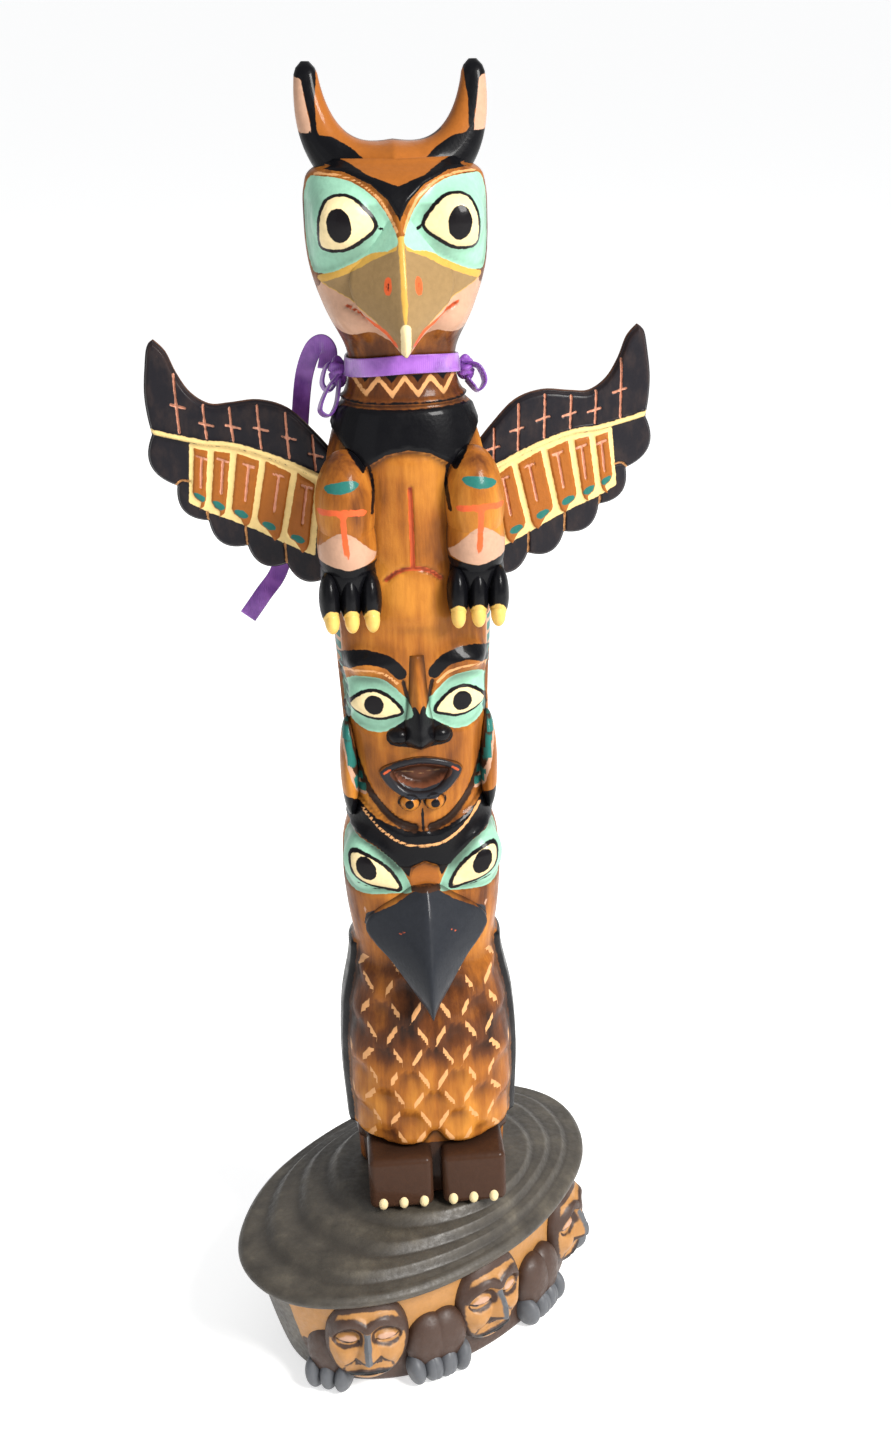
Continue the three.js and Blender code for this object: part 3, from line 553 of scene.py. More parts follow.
def poleForm(size):
    turnShare = np.arange(size["columns"]) / size["columns"] * 2 - 1
    turn = pi * (turnShare - size["crowding"] * np.sin(2 * pi * turnShare))
    height = np.linspace(0, size["height"], size["rows"] + 1)
    turn, h = np.meshgrid(turn, height)
    sine, cosine = np.abs(np.sin(turn)), np.cos(turn)
    reach = plainReach(sine, cosine, h, size)
    for lump in size["lumps"]:
        other = lumpReach(sine, cosine, h, lump)
        soft = clamp(0.5 + 0.5 * (other - reach) / size["blend"])
        reach = reach + (other - reach) * soft + size["blend"] * soft * (1 - soft) * (other > 0)
    reach = spread(reach, size["smoothing"])
    x = reach * sine
    paint = paintFigures(x, h, sine, cosine, reach, size)
    deep = size["relief"]
    raised = (h > 181) | (h > 142) & (h < 156) | (h > 70) & (h < 84)
    mouth = ease(paint["deep"] / 1.6 + 0.3)
    hem = size["hem"] + 2.4 * dome(x / 2.6) - 0.8 * dome((x - 6.6) / 5)
    onBody = band(h, hem, size["bodyTop"], 0.9) * ease((size["wingSine"] - sine) / 0.05)
    below = featherField(x, h, size)[0]
    relief = deep["black"] * ease(paint["black"] / 0.7 + 0.5) * raised
    relief += deep["amber"] * ease(paint["amber"] / 0.8 + 0.5) * (h > 186)
    relief -= deep["mint"] * ease(paint["mint"] / 1.5 + 0.5)
    relief += deep["cream"] * ease(paint["cream"] / 1.3 + 0.4) * (h > 60)
    relief += deep["belly"] * dome(x / 6.4) * band(h, 116, 145.6, 3)
    relief -= deep["red"] * ease(paint["red"] / 0.4 + 0.5)
    relief -= deep["groove"] * ease(paint["dusk"] / 0.5 + 0.5) * (h > 74) * (h < 112)
    relief -= deep["mouth"] * mouth
    relief += spread(deep["feather"] * (1 - below) ** 1.2 * onBody, 3)
    relief -= deep["hem"] * ease((hem - h) / 0.8)
    sideWing = band(h, 8, size["wingTop"], 1.6) * ease((sine - 0.92 + np.where(cosine < 0, 0.5, 0)) / 0.04)
    reach = reach + relief * ease((cosine + 0.2) / 0.3) + deep["sideWing"] * sideWing
    # the cap of the head is flatter than the outline, so that the crest stands clear of it
    level = np.where(h > size["capFoot"], size["capFoot"] + 0.72 * (h - size["capFoot"]), h) + size["lift"]
    places = np.stack([reach * np.sin(turn), -reach * cosine, level], axis=-1)
    # Painted shade: the upper part of each feather, under the tip of the one above, is darker.
    paint["tone"] = figureTone(h, cosine, size) - 0.22 * clamp(below * 1.6 - 0.7) * onBody
    # Painted shade: the hollows of the carving below the cap, and the open mouth, are darkened.
    paint["hollowShade"] = np.maximum(clamp((spread(reach, 5) - reach) / 0.32) * (h < 187), 0.5 * mouth)
    return places, paint


def crestBand(x, z):
    return {"black": Brush(x, z).patch([(-3, 206), (18, 206), (18, 229)] + browTop)}


# Paints a form joined to the pole where it lies; bare coats are left off, and more adds fields of its own
def paintForm(piece, size, bare=(), more=None):
    place = readPlaces(piece) / mm
    x, h = np.abs(place[:, 0]), place[:, 2] - size["lift"]
    reach = np.hypot(place[:, 0], place[:, 1])
    sine, cosine = x / reach, -place[:, 1] / reach
    paint = paintFigures(x, h, sine, cosine, reach, size)
    for name in bare:
        paint[name][:] = unpainted
    for name, field in (more(x, place[:, 2]) if more else {}).items():
        paint[name] = np.maximum(paint[name], only(cosine > -0.15, field))
    plain = plainReach(sine, cosine, np.clip(h, 0, size["height"]), size)
    paint["tone"] = figureTone(h, cosine, size)
    # Painted shade: a form darkens where it nears the pole's plain surface, below the horned bird's beak.
    paint["hollowShade"] = clamp(1 - (reach - plain - 0.2) / 0.9) * (h < 165)
    writeLayers(piece, paint)
    return piece


def roundForm(form, sign, size):
    side, forward, level, wide, deep, tall, columns = form
    piece = ballPiece(columns, columns * 2 // 3)
    bpy.ops.object.mode_set(mode="EDIT")
    bpy.ops.mesh.select_all(action="SELECT")
    bpy.ops.transform.resize(value=(wide * mm, deep * mm, tall * mm))
    bpy.ops.transform.translate(value=(sign * side * mm, -forward * mm, (level + size["lift"]) * mm))
    bpy.ops.object.mode_set(mode="OBJECT")
    return paintForm(piece, size)


def beakForm(name, rows, size):
    levels = np.linspace(rows[0][0], rows[-1][0], 44)
    ridge, half, side = (along(rows, levels, i)[:, None] for i in (1, 2, 3))
    # across the beak's face, then back along one side, round behind and along the other
    share = np.concatenate([np.linspace(-1, 1, 37), np.ones(5), np.linspace(1, -1, 5)[1:-1], -np.ones(5)])
    back = np.concatenate([np.zeros(37), np.linspace(0.15, 1, 5), np.ones(3), np.linspace(1, 0.15, 5)])
    soft = 0.5 / np.maximum(half, 0.5)
    fall = (np.sqrt(share ** 2 + soft ** 2) - soft) / (np.sqrt(1 + soft ** 2) - soft)
    forward = ridge + (side - ridge) * fall
    forward = forward * (1 - back) + size["heart"] * back
    level = np.repeat(levels[:, None], len(share), 1) + size["lift"]
    places = np.stack([half * share, -forward, level], axis=-1)
    return paintForm(gridPiece(name, places), size)


def footForm(sign, shape, size):
    deselectAll()
    bpy.ops.mesh.primitive_cube_add(size=1)
    piece = bpy.context.object
    deep = shape["forward"] - size["heart"]
    bpy.ops.object.mode_set(mode="EDIT")
    bpy.ops.transform.resize(value=(shape["wide"] * mm, deep * mm, (shape["top"] - 0.3) * mm))
    side, level = shape["side"] + shape["wide"] / 2, size["lift"] + 0.1 + shape["top"] / 2
    bpy.ops.transform.translate(value=(sign * side * mm, -(size["heart"] + deep / 2) * mm, level * mm))
    bpy.ops.mesh.bevel(offset=1.4 * mm, segments=5, affect="EDGES")
    bpy.ops.mesh.subdivide(number_cuts=1)
    bpy.ops.object.mode_set(mode="OBJECT")
    bpy.ops.object.shade_smooth()
    return paintForm(piece, size, bare=("cream",))


def lipsForm(shape, size):
    turn, around = (np.linspace(0, 2 * pi, count, endpoint=False) for count in (72, 20))
    turn, around = np.meshgrid(turn, around, indexing="ij")
    out = 1 + shape["thick"] * np.cos(around) / shape["tall"]
    forward = shape["forward"] + shape["thick"] * 1.5 * np.sin(around) - 0.9 * np.sin(turn) ** 2
    level = (size["lift"] + shape["level"] + shape["lift"] * np.sin(turn) ** 4
             + shape["tall"] * out * np.sign(np.cos(turn)) * np.abs(np.cos(turn)) ** 1.3)
    places = np.stack([shape["wide"] * out * np.sin(turn), -forward, level], axis=-1)
    places = np.concatenate([places, places[:1]])
    return paintForm(gridPiece("lips", places, caps=False), size)


def crestPlaces(size):
    share = np.linspace(-1, 1, 81)
    t = np.abs(share)
    side = 13.8 * np.sin(np.minimum(t * 1.62, pi / 2 + 0.05)) * np.sign(share)
    up = size["height"] - 5.6 + 18.3 * t ** 2.2 + size["lift"]
    route = np.stack([side, 0.4 + 2 * t ** 1.5, up], axis=1)
    flat = route * (1, 0, 1)
    ahead = np.gradient(flat, axis=0)
    ahead /= np.linalg.norm(ahead, axis=1)[:, None]
    across = np.tile([0.0, 1.0, 0.0], (len(t), 1))
    upward = np.cross(ahead, across)
    ends = np.sqrt(1 - (1 - np.clip((1 - t) / 0.05, 0.08, 1)) ** 2)
    thick = (5.9 - 4.2 * t ** 1.2) * ends
    deep = (8 - 5.9 * t ** 0.9) * ends
    return loftPlaces(route, across, upward, deep, thick, power=2.5, points=44)


print("stage: helpers ready")
poleGrid, polePaint = poleForm(poleSize)
poleParts = [gridPiece("trunk", poleGrid, polePaint)]
crest = gridPiece("crest", crestPlaces(poleSize))
poleParts.append(paintForm(crest, poleSize, bare=("tan", "mint"), more=crestBand))
for sign in (-1, 1):
    for form in armForms + toeForms + clawForms + faceForms + nailForms:
        poleParts.append(roundForm(form, sign, poleSize))
    poleParts.append(footForm(sign, foot, poleSize))
for name, rows in beaks.items():
    poleParts.append(beakForm(name, rows, poleSize))
poleParts.append(lipsForm(lips, poleSize))
pole = joinPieces(poleParts, "totemPole")
print("stage: pole carved", len(pole.data.polygons))


# The wings: one board each, thin, scalloped below, leaning back from the pole

wingSize = {
    "lift": poleSize["lift"], "root": 12.2, "thick": 3.6, "sweep": 9.0, "rootDepth": 2.6,
    "rows": 300, "columns": 110, "bulge": 0.55,
    "upper": [(12.2, 142.6), (15.6, 146.6), (20, 150.8), (25, 152.3), (30, 151.8), (33.6, 151.6),
              (36.8, 153.6), (39, 157), (40.6, 160.8), (42.6, 162.9)],
    "notches": [(14.6, 120.2), (21.8, 122.8), (28.6, 126.2), (35.2, 130.8), (40.3, 137.2), (44, 146.4)],
    "outer": [(44.6, 150), (44.8, 154), (44.3, 158.6), (43.7, 161.8), (42.6, 162.9)],
    "topX": [15.3, 19.4, 24.8, 29.8, 33.7, 37.2],
    "ribLine": [(14.5, 138.8), (19.7, 141.3), (25.3, 143.5), (30.4, 144.9), (35.6, 145.4), (43.8, 147.2)],
    "feet": [(17, 125), (21.8, 127.2), (26.9, 129.8), (31.3, 131.6), (34.8, 132.9), (38, 134.6)],
    "seams": [[(21.9, 126.8), (21.8, 123)], [(28.7, 130), (28.6, 126.4)], [(35.3, 132.6), (35.2, 131)],
              [(37.9, 138.2), (39.4, 138.4), (40.5, 137.4)]],
    "cuts": [15.9, 20.4, 25.2, 30, 34.6, 39.3],
    "relief": {"panel": 0.44, "rib": 0.72, "coral": 0.45, "tan": 0.6, "belly": 0.35, "rim": 1.0},
}


def wingEdge(size):
    lower = [np.array([(size["root"], 119.8)]), np.array([size["notches"][0]])]
    for (ax, az), (bx, bz) in zip(size["notches"][:-1], size["notches"][1:]):
        t = np.linspace(0, 1, 14)[1:, None]
        bulge = size["bulge"]
        middle = np.array([(ax + bx) / 2 + bulge * (bz - az), (az + bz) / 2 - bulge * (bx - ax)])
        start, end = np.array([ax, az]), np.array([bx, bz])
        lower.append((1 - t) ** 2 * start + 2 * t * (1 - t) * middle + t ** 2 * end)
    lower.append(smoothCurve([size["notches"][-1]] + size["outer"])[1:])
    return np.vstack(lower), smoothCurve(size["upper"])


def evenly(points, count):
    far = np.concatenate([[0], np.cumsum(np.hypot(*np.diff(points, axis=0).T))])
    want = np.linspace(0, far[-1], count)
    return np.stack([np.interp(want, far, points[:, i]) for i in range(points.shape[1])], axis=1)


wingCoats = ["tan", "straw", "amber", "teal", "coral"]


def wingPaint(x, h, size):
    brush = Brush(x, h, wingCoats)
    rib = smoothCurve(size["ribLine"])
    tops = [(a, float(np.interp(a, *rib.T)) - 0.9) for a in size["topX"]]
    brush.add("straw", brush.patch(tops + size["feet"][::-1]) + 0.35, brush.stroke(size["ribLine"], 0.85))
    feet = size["feet"]
    for (ax, ah), (bx, bh), (cx, ch), (dx, dh) in zip(tops[:-1], tops[1:], feet[:-1], feet[1:]):
        panel = brush.patch([
            (ax + 0.7, ah - 0.5), (bx - 0.45, bh - 0.5), (dx - 0.4, dh + 1.7), (dx - 0.8, dh + 0.7),
            (dx - 1.8, dh - 0.1), (cx + 1.9, ch + 0.1), (cx + 1.0, ch + 0.8), (cx + 0.6, ch + 1.9)])
        mx, mh = (ax + bx) / 2 + 0.1, (ah + bh) / 2 - 2
        nx, nh = (cx + dx) / 2, (ch + dh) / 2
        brush.add("amber", panel)
        brush.add("coral", brush.stroke([(mx - 0.9, mh - 0.3), (mx + 0.9, mh + 0.3)], 0.4),
                  brush.stroke([(mx, mh), (mx * 0.4 + nx * 0.6, mh * 0.4 + nh * 0.6)], 0.42))
        brush.add("teal", np.minimum(brush.oval(nx + 0.2, nh + 1.7, 1.3, 0.7, 24), panel - 0.15))
    for seam in size["seams"]:
        brush.add("tan", brush.stroke(seam, 0.35))
    for side in size["cuts"]:
        low = float(np.interp(side, *rib.T)) + 0.7
        high = max(float(np.interp(side, *np.array(size["upper"]).T)) - 0.6, low + 1)
        middle = (low + high) / 2
        brush.add("coral", brush.stroke([(side - 0.2, low), (side, middle), (side + 0.1, high)], 0.38),
                  brush.stroke([(side - 1.5, middle - 0.7), (side + 0.9, middle - 0.1)], 0.38))
    return brush


def wingPiece(name, sign, size):
    lowerEdge, upperEdge = wingEdge(size)
    lower, upper = evenly(lowerEdge, size["rows"]), evenly(upperEdge, size["rows"])
    outline = np.vstack([lowerEdge, upperEdge[::-1][1:], lowerEdge[:1]])
    share = 0.5 - 0.5 * np.cos(np.linspace(0, pi, size["columns"]))
    flat = lower[:, None] + (upper - lower)[:, None] * share[None, :, None]
    x, h = flat[..., 0], flat[..., 1]
    inward = lineDistance(x, h, outline)
    roll = 1 - np.sqrt(1 - (1 - clamp(inward / 1.2)) ** 2)
    brush, deep = wingPaint(x, h, size), size["relief"]
    out = deep["panel"] * ease(brush.paint["amber"] / 0.7 + 0.4)
    out += deep["rib"] * ease(brush.stroke(size["ribLine"], 1.3) / 0.5)
    out -= deep["coral"] * ease(brush.paint["coral"] / 0.3 + 0.4)
    out -= deep["tan"] * ease(brush.paint["tan"] / 0.4 + 0.5)
    out += deep["belly"] * np.sin(clamp((h - 119) / 40) * pi) - deep["rim"] * roll * (inward < 1.2)
    shallow = ease(inward / 0.5)
    lean = tan(radians(size["sweep"]))

    def placed(away):
        y = size["rootDepth"] + lean * (x - size["root"]) - away
        return np.stack([sign * x, y, h + size["lift"]], axis=-1)

    # each row runs over the front from the lower edge to the upper, and back over the rear
    def bothSides(front, back):
        return np.concatenate([front, back[:, ::-1]], axis=1)

    front, back = out * shallow - 0.9 * (1 - shallow), deep["rim"] * roll - size["thick"]
    layers = {key: bothSides(v, np.full(x.shape, unpainted)) for key, v in brush.paint.items()}
    layers["edge"] = bothSides(np.zeros(x.shape), 0.3 + 0.5 * (inward < 0.9))
    # Painted shade: the front is darkened where it is cut in.
    layers["hollowShade"] = bothSides(clamp(-out / 0.6) * shallow, np.zeros(x.shape))
    return gridPiece(name, bothSides(placed(front), placed(back)), layers)


wings = [wingPiece("leftWing", -1, wingSize), wingPiece("rightWing", 1, wingSize)]
print("stage: wings carved")

# The plinth: a stepped clamshell over a bowl, masks and hands looking out on one long side

plinthSize = {
    "height": 31.0, "rim": 24.0, "lip": 3.4, "halfLength": 42.8, "halfWidth": 28.3, "footLength": 34.5,
    "footWidth": 24.0, "shiftAlong": -1.1, "shiftAcross": -3.6, "turn": 48.0, "terraces": 3,
    "seatLength": 19.5, "seatWidth": 18.0, "columns": 320, "bowlRows": 40, "topRows": 96,
    "firstMask": 61.0, "maskStep": 44.0, "masks": 3, "hands": 19.0,
    "maskHalf": 7.9, "maskTall": 9.8, "maskRise": 4.4,
    "maskLevel": 13.2, "maskColumns": 110, "maskRows": 56, "handLevel": 5.0,
    # how far the bowl's top, the lip's ends and the terraces' foot lie in from the half length and width
    "bowlInset": (3.4, 3.2), "lipInset": (3.2, 3.0), "topInset": (1.6, 1.5),
    "relief": {"brow": 0.9, "socket": 1.3, "lid": 0.8, "slit": 0.35, "nose": 2.5, "mouth": 0.8, "gap": 0.6,
               "crease": 0.3, "cheek": 0.7},
}
shellCoats = ["honey", "dusk", "pale", "black", "grey", "ink"]


# Half length, half width and shifts of the bowl, at a share of the way from its foot to its lip
def bowlRing(share, size):
    wide = [foot + (half - inset - foot) * share for foot, half, inset in zip(
        (size["footLength"], size["footWidth"]), (size["halfLength"], size["halfWidth"]), size["bowlInset"])]
    return (*wide, size["shiftAlong"] * share, size["shiftAcross"] * (0.55 + 0.45 * share))


def turned(u, v, size):
    turn = radians(size["turn"])
    return [u * cos(turn) + v * sin(turn), u * sin(turn) - v * cos(turn)]


def bowlPlace(angle, z, size):
    share = np.clip(z / (size["rim"] - size["lip"]), 0, 1) ** 0.8
    halfLength, halfWidth, shiftAlong, shiftAcross = bowlRing(share, size)
    u, v = shiftAlong + halfLength * cos(radians(angle)), shiftAcross + halfWidth * sin(radians(angle))
    return np.array(turned(u, v, size))


def onBowl(across, out, up, angle, level, size):
    place = bowlPlace(angle, level, size)
    side = bowlPlace(angle - 1, level, size) - bowlPlace(angle + 1, level, size)
    side /= np.hypot(*side)
    outward = np.array([side[1], -side[0]])
    flat = [place[i] + side[i] * across + outward[i] * out for i in (0, 1)]
    return np.stack([*flat, level + up], axis=-1)


def maskForm(name, angle, size):
    share = np.sin(np.linspace(0.02, 1, size["maskRows"]) * pi / 2)[::-1]
    turn = np.linspace(0, 2 * pi, size["maskColumns"], endpoint=False)
    share, turn = np.meshgrid(share, turn, indexing="ij")
    across, up = size["maskHalf"] * share * np.cos(turn), size["maskTall"] * share * np.sin(turn)
    brush, deep = Brush(np.abs(across), up, shellCoats), size["relief"]
    a = brush.x
    brow = brush.stroke([(0.4, 4), (2.2, 5), (4.6, 4.6), (6.8, 2.4)], 1.9)
    socket = brush.oval(3.7, 1.5, 3, 2.2, -8)
    lid = brush.oval(3.7, 1.1, 2.3, 1.25, -8)
    slit = brush.stroke([(1.7, 0.7), (3.7, 0.4), (5.8, 0.9)], 0.35)
    mouth = brush.stroke([(0, -6.6), (2, -6.5), (3.6, -7.1)], 1.9)
    gap = brush.stroke([(0, -6.6), (3.4, -6.9)], 0.4)
    crease = brush.stroke([(2.4, -3.2), (4.4, -5.2), (4.8, -7.4)], 0.5)
    nose = clamp(1 - a / (1.1 + 1.3 * clamp((2 - up) / 5.4))) ** 0.8
    nose = nose * ease((5 - up) / 7) * ease((up + 4) / 0.9)
    relief = deep["brow"] * ease(brow / 1.2 + 0.5) - deep["socket"] * ease(socket / 1.6 + 0.3)
    relief += deep["lid"] * ease(lid / 1 + 0.2) - deep["slit"] * ease(slit / 0.2 + 0.5) + deep["nose"] * nose
    relief += deep["mouth"] * ease(mouth / 1 + 0.3) - deep["gap"] * ease(gap / 0.2 + 0.5)
    relief += deep["cheek"] * dome(np.hypot((a - 4.6) / 2.6, (up + 2.6) / 2.8))
    relief -= deep["crease"] * ease(crease / 0.3 + 0.5)
    out = size["maskRise"] * np.sqrt(1 - share ** 2) ** 0.8 + relief * ease((1 - share) / 0.3) - 0.6
    brush.add("honey", np.full(share.shape, 1.0))
    # Dark brown on the brows, mouth and top is paint; round the sockets, in the creases, along the edge and
    # under the nose it is painted shade.
    brush.add("dusk", brow, np.minimum(socket, -lid), crease, mouth, up - 6.9 + 0.03 * a * a,
              (share - 0.9) * 8, np.minimum(2.6 - a, -2.6 - up) - np.where(up < -4.4, 9, 0))
    brush.add("pale", lid - 0.5)
    brush.add("ink", slit, gap)
    # A grey stripe down the nose is a painted highlight.
    brush.add("grey", np.minimum(0.7 - a, 3 - up) - np.where(up < -4, 9, 0))
    brush.add("black", mouth - 0.3)
    # Painted shade: the mask is darkened where it is cut in.
    brush.paint["hollowShade"] = clamp(-relief / 1.2) * 0.8
    return gridPiece(name, onBowl(across, out, up, angle, size["maskLevel"], size), brush.paint)


# The palm and fingers of one hand: place along the bowl, out of it and up it, half sizes and coat
palmForm = (0, 0.4, 9, 4.6, 3.2, 6, "dusk")
fingerForms = [(side, 1.4, 3.6, 1.75, 2.8, 3.3, "grey") for side in (-3, 0, 3)]


def handForms(angle, size):
    made = []
    for across, out, level, wide, deep, tall, coat in [palmForm] + fingerForms:
        piece = ballPiece(32, 22)
        x, y, z = readPlaces(piece).T
        writePlaces(piece, onBowl(across + wide * x + 0.12 * across * z, out - deep * y,
                                  level - size["handLevel"] + tall * z, angle, size["handLevel"], size))
        layers = {key: np.full(x.shape, unpainted) for key in shellCoats}
        layers[coat] = np.ones(x.shape)
        if coat == "grey":
            layers["dusk"] = (z - 0.35) * tall
        # Painted shade: the back of each palm and finger, towards the bowl, is darkened.
        layers["hollowShade"] = clamp(y + 0.2)
        writeLayers(piece, layers)
        made.append(piece)
    return made


def plinthPiece(size):
    share = 1 - np.arange(size["columns"]) / size["columns"] * 2
    middle = size["firstMask"] + size["maskStep"] * (size["masks"] - 1) / 2
    angle = middle + 180 * (share - 0.075 * np.sin(2 * pi * share))
    lipFoot = size["rim"] - size["lip"]
    # each ring is half length, half width, two shifts, height, and one on the bowl or nothing above it.
    # A ring of the terraces has, for its height, minus one less its share of the way to the seat
    rings = []
    for t in np.linspace(0, 1, size["bowlRows"]):
        halfLength, halfWidth, *shifts = bowlRing(t ** 0.8, size)
        footRound = 0.8 * (1 - clamp(t * 14)) ** 2
        rings.append((halfLength - footRound, halfWidth - footRound, *shifts, lipFoot * t, 1.0))
    shifts = np.array([size["shiftAlong"], size["shiftAcross"]])
    half = np.array([size["halfLength"], size["halfWidth"]])
    seat = np.array([size["seatLength"], size["seatWidth"]])
    for t in np.linspace(0, 1, 16):
        inset = np.array(size["lipInset"])
        bulge = np.sin(t * pi * 0.75 + 0.1)
        rings.append((*(half - inset + inset * bulge), *shifts, lipFoot + size["lip"] * t, 0.0))
    for t in np.linspace(0.02, 1, size["topRows"]):
        inset = np.array(size["topInset"])
        rings.append((*(half - inset + (seat - half + inset) * t), *(shifts * (1 - t)), -1 - t, 0.0))
    ring = np.array(rings)
    angles, long_ = np.meshgrid(angle, ring[:, 0])
    wide, u0, v0, z, carved = (np.repeat(ring[:, i:i + 1], size["columns"], axis=1) for i in range(1, 6))
    c, s = np.cos(np.radians(angles)), np.sin(np.radians(angles))
    top = z < -0.5
    t = clamp(-1 - z)
    wave = 0.035 * np.sin(np.radians(angles) * 3 + 0.8) + 0.02 * np.sin(np.radians(angles) * 7 + 2)
    steps = clamp(t + wave * np.sin(t * pi)) * size["terraces"]
    whole = np.floor(np.minimum(steps, size["terraces"] - 1e-6))
    part = steps - whole
    stepped = (whole + 0.45 * part + 0.55 * ease((part - 0.5) / 0.45)) / size["terraces"]
    z = np.where(top, size["rim"] + (size["height"] - size["rim"]) * stepped, z)
    ripple = np.where((carved < 0.5) & ~top, 0.25 * np.sin(np.radians(angles) * 9), 0)
    u, v = u0 + (long_ + 0.4 * ripple) * c, v0 + (wide + 0.4 * ripple) * s
    layers = {key: np.full(z.shape, unpainted) for key in shellCoats}
    onSide = (75 - np.abs(angles - middle)) * 0.6
    layers["honey"] = only(carved > 0.5, np.minimum(onSide, z - 9))
    layers["dusk"] = only(carved > 0.5, np.minimum(onSide, 10.4 - z))
    # Painted shade: the drop from each terrace to the next is darkened.
    layers["hollowShade"] = np.where(top, clamp(ease((part - 0.3) / 0.25) - ease((part - 0.62) / 0.2)), 0) * 0.5
    made = [gridPiece("shellBody", np.stack([*turned(u, v, size), z], axis=-1), layers)]
    for index in range(size["masks"]):
        at = size["firstMask"] + index * size["maskStep"]
        made.append(maskForm(f"mask{index}", at, size))
        for side in (-1, 1):
            made += handForms(at + side * size["hands"], size)
    return joinPieces(made, "shellPlinth")


plinth = plinthPiece(plinthSize)
print("stage: plinth carved", len(plinth.data.polygons))

# The ribbon: a band round the neck, a knot and small loops at each side, and the free tail

ribbonSize = {
    "wide": 3.2, "thick": 0.45, "level": 190.7, "gap": 0.75, "bandPoints": 181, "ring": 20,
    "knotPlace": (-0.6, 189.4),
    "knots": [(-11.0, 2.3), (10.9, 1.9)],
    "tail": [(-12.9, 2.4, 189.5), (-12.4, 4.4, 192.1), (-13.4, 6.4, 193.2), (-15.2, 8.4, 191.5),
             (-16.9, 10.2, 186.7), (-18, 12, 178.9), (-19.2, 12.9, 168.3), (-21, 13, 158.9),
             (-23.4, 12.2, 150.9), (-26.6, 11, 146.7), (-29.6, 10.8, 142.7)],
    "loops": [
        [(-10.6, -1.2, 189.6), (-13, -3, 187), (-14.4, -3.4, 183.6), (-13, -3.2, 182.4), (-11.6, -2.8, 184.4),
         (-10.8, -1.4, 188.4)],
        [(-10.6, 0.6, 191), (-12.8, 0.6, 190.4), (-13.8, 0.4, 187.4), (-12.6, 0.2, 186), (-11, 0.4, 188.2)],
        [(10.6, -0.8, 190.2), (13, -2, 189.8), (14, -2.4, 187.4), (12.8, -2.2, 185.8), (11, -1.2, 187.6)],
    ],
}


def ribbonStrip(name, route, across, size, taper=1.0, closed=False):
    ahead = np.gradient(route, axis=0)
    ahead /= np.linalg.norm(ahead, axis=1)[:, None]
    upward = across - (across * ahead).sum(axis=1)[:, None] * ahead
    upward /= np.linalg.norm(upward, axis=1)[:, None]
    outward = np.cross(ahead, upward)
    count = len(route)
    places = loftPlaces(route, outward, upward, np.full(count, size["thick"] / 2),
                        np.full(count, size["wide"] / 2) * taper, power=5, points=size["ring"])
    widthShare = np.tile(np.linspace(0, 1, size["ring"], endpoint=False), (count, 1))
    alongShare = np.repeat(np.linspace(0, 1, count)[:, None], size["ring"], axis=1)
    layers = {"acrossShare": np.sin(widthShare * 2 * pi), "alongShare": alongShare}
    if closed:
        places[-1] = places[0]
    return gridPiece(name, places, layers, caps=not closed)


def neckRadius(turn, size, h):
    wide, deep = along(size["outline"], h, 1), along(size["outline"], h, 2)
    return ((np.abs(np.sin(turn)) / wide) ** 2.4 + (np.abs(np.cos(turn)) / deep) ** 2.4) ** (-1 / 2.4)


def neckBand(size, neck):
    turn = np.linspace(0, 2 * pi, size["bandPoints"])
    reach = neckRadius(turn, neck, size["level"] - neck["lift"]) + size["gap"]
    level = size["level"] + 0.35 * np.sin(turn * 2 + 1) + 1.0 * np.cos(turn)
    route = np.stack([reach * np.sin(turn), -reach * np.cos(turn), level], axis=1)
    route[-1] = route[0]
    across = np.stack([0.12 * np.sin(turn * 3), np.zeros(len(turn)), np.ones(len(turn))], axis=1)
    return ribbonStrip("neckBand", route, across, size, closed=True)


def knotForm(side, tall, size):
    piece = ballPiece(48, 24)
    ball = readPlaces(piece)
    turn = np.arctan2(ball[:, 2], ball[:, 1])
    fold = 1 + 0.16 * np.cos(turn * 4 + ball[:, 0] * 3) + 0.08 * np.sin(turn * 9)
    writePlaces(piece, ball * fold[:, None] * (1.5, 1.9, tall) + (side, *size["knotPlace"]))
    writeLayers(piece, {key: np.zeros(len(ball)) for key in ("acrossShare", "alongShare")})
    return piece


ribbonParts = [neckBand(ribbonSize, poleSize)]
for index, points in enumerate(ribbonSize["loops"]):
    loopRoute = smoothCurve(points, pieces=8)
    loopAcross = np.tile([0.25, -1.0, 0.35], (len(loopRoute), 1))
    ribbonParts.append(ribbonStrip(f"loop{index}", loopRoute, loopAcross, ribbonSize, taper=0.8))
for side, tall in ribbonSize["knots"]:
    ribbonParts.append(knotForm(side, tall, ribbonSize))
neckRibbon = joinPieces(ribbonParts, "neckRibbon")

tailRoute = smoothCurve(ribbonSize["tail"], pieces=8)
tailAcross = np.cross(np.gradient(tailRoute, axis=0), np.tile([0.25, 1.0, 0.1], (len(tailRoute), 1)))
ribbonTail = ribbonStrip("ribbonTail", tailRoute, tailAcross, ribbonSize)
tailPath = [tuple(float(c) * mm for c in point) for point in tailRoute]

# Finishes


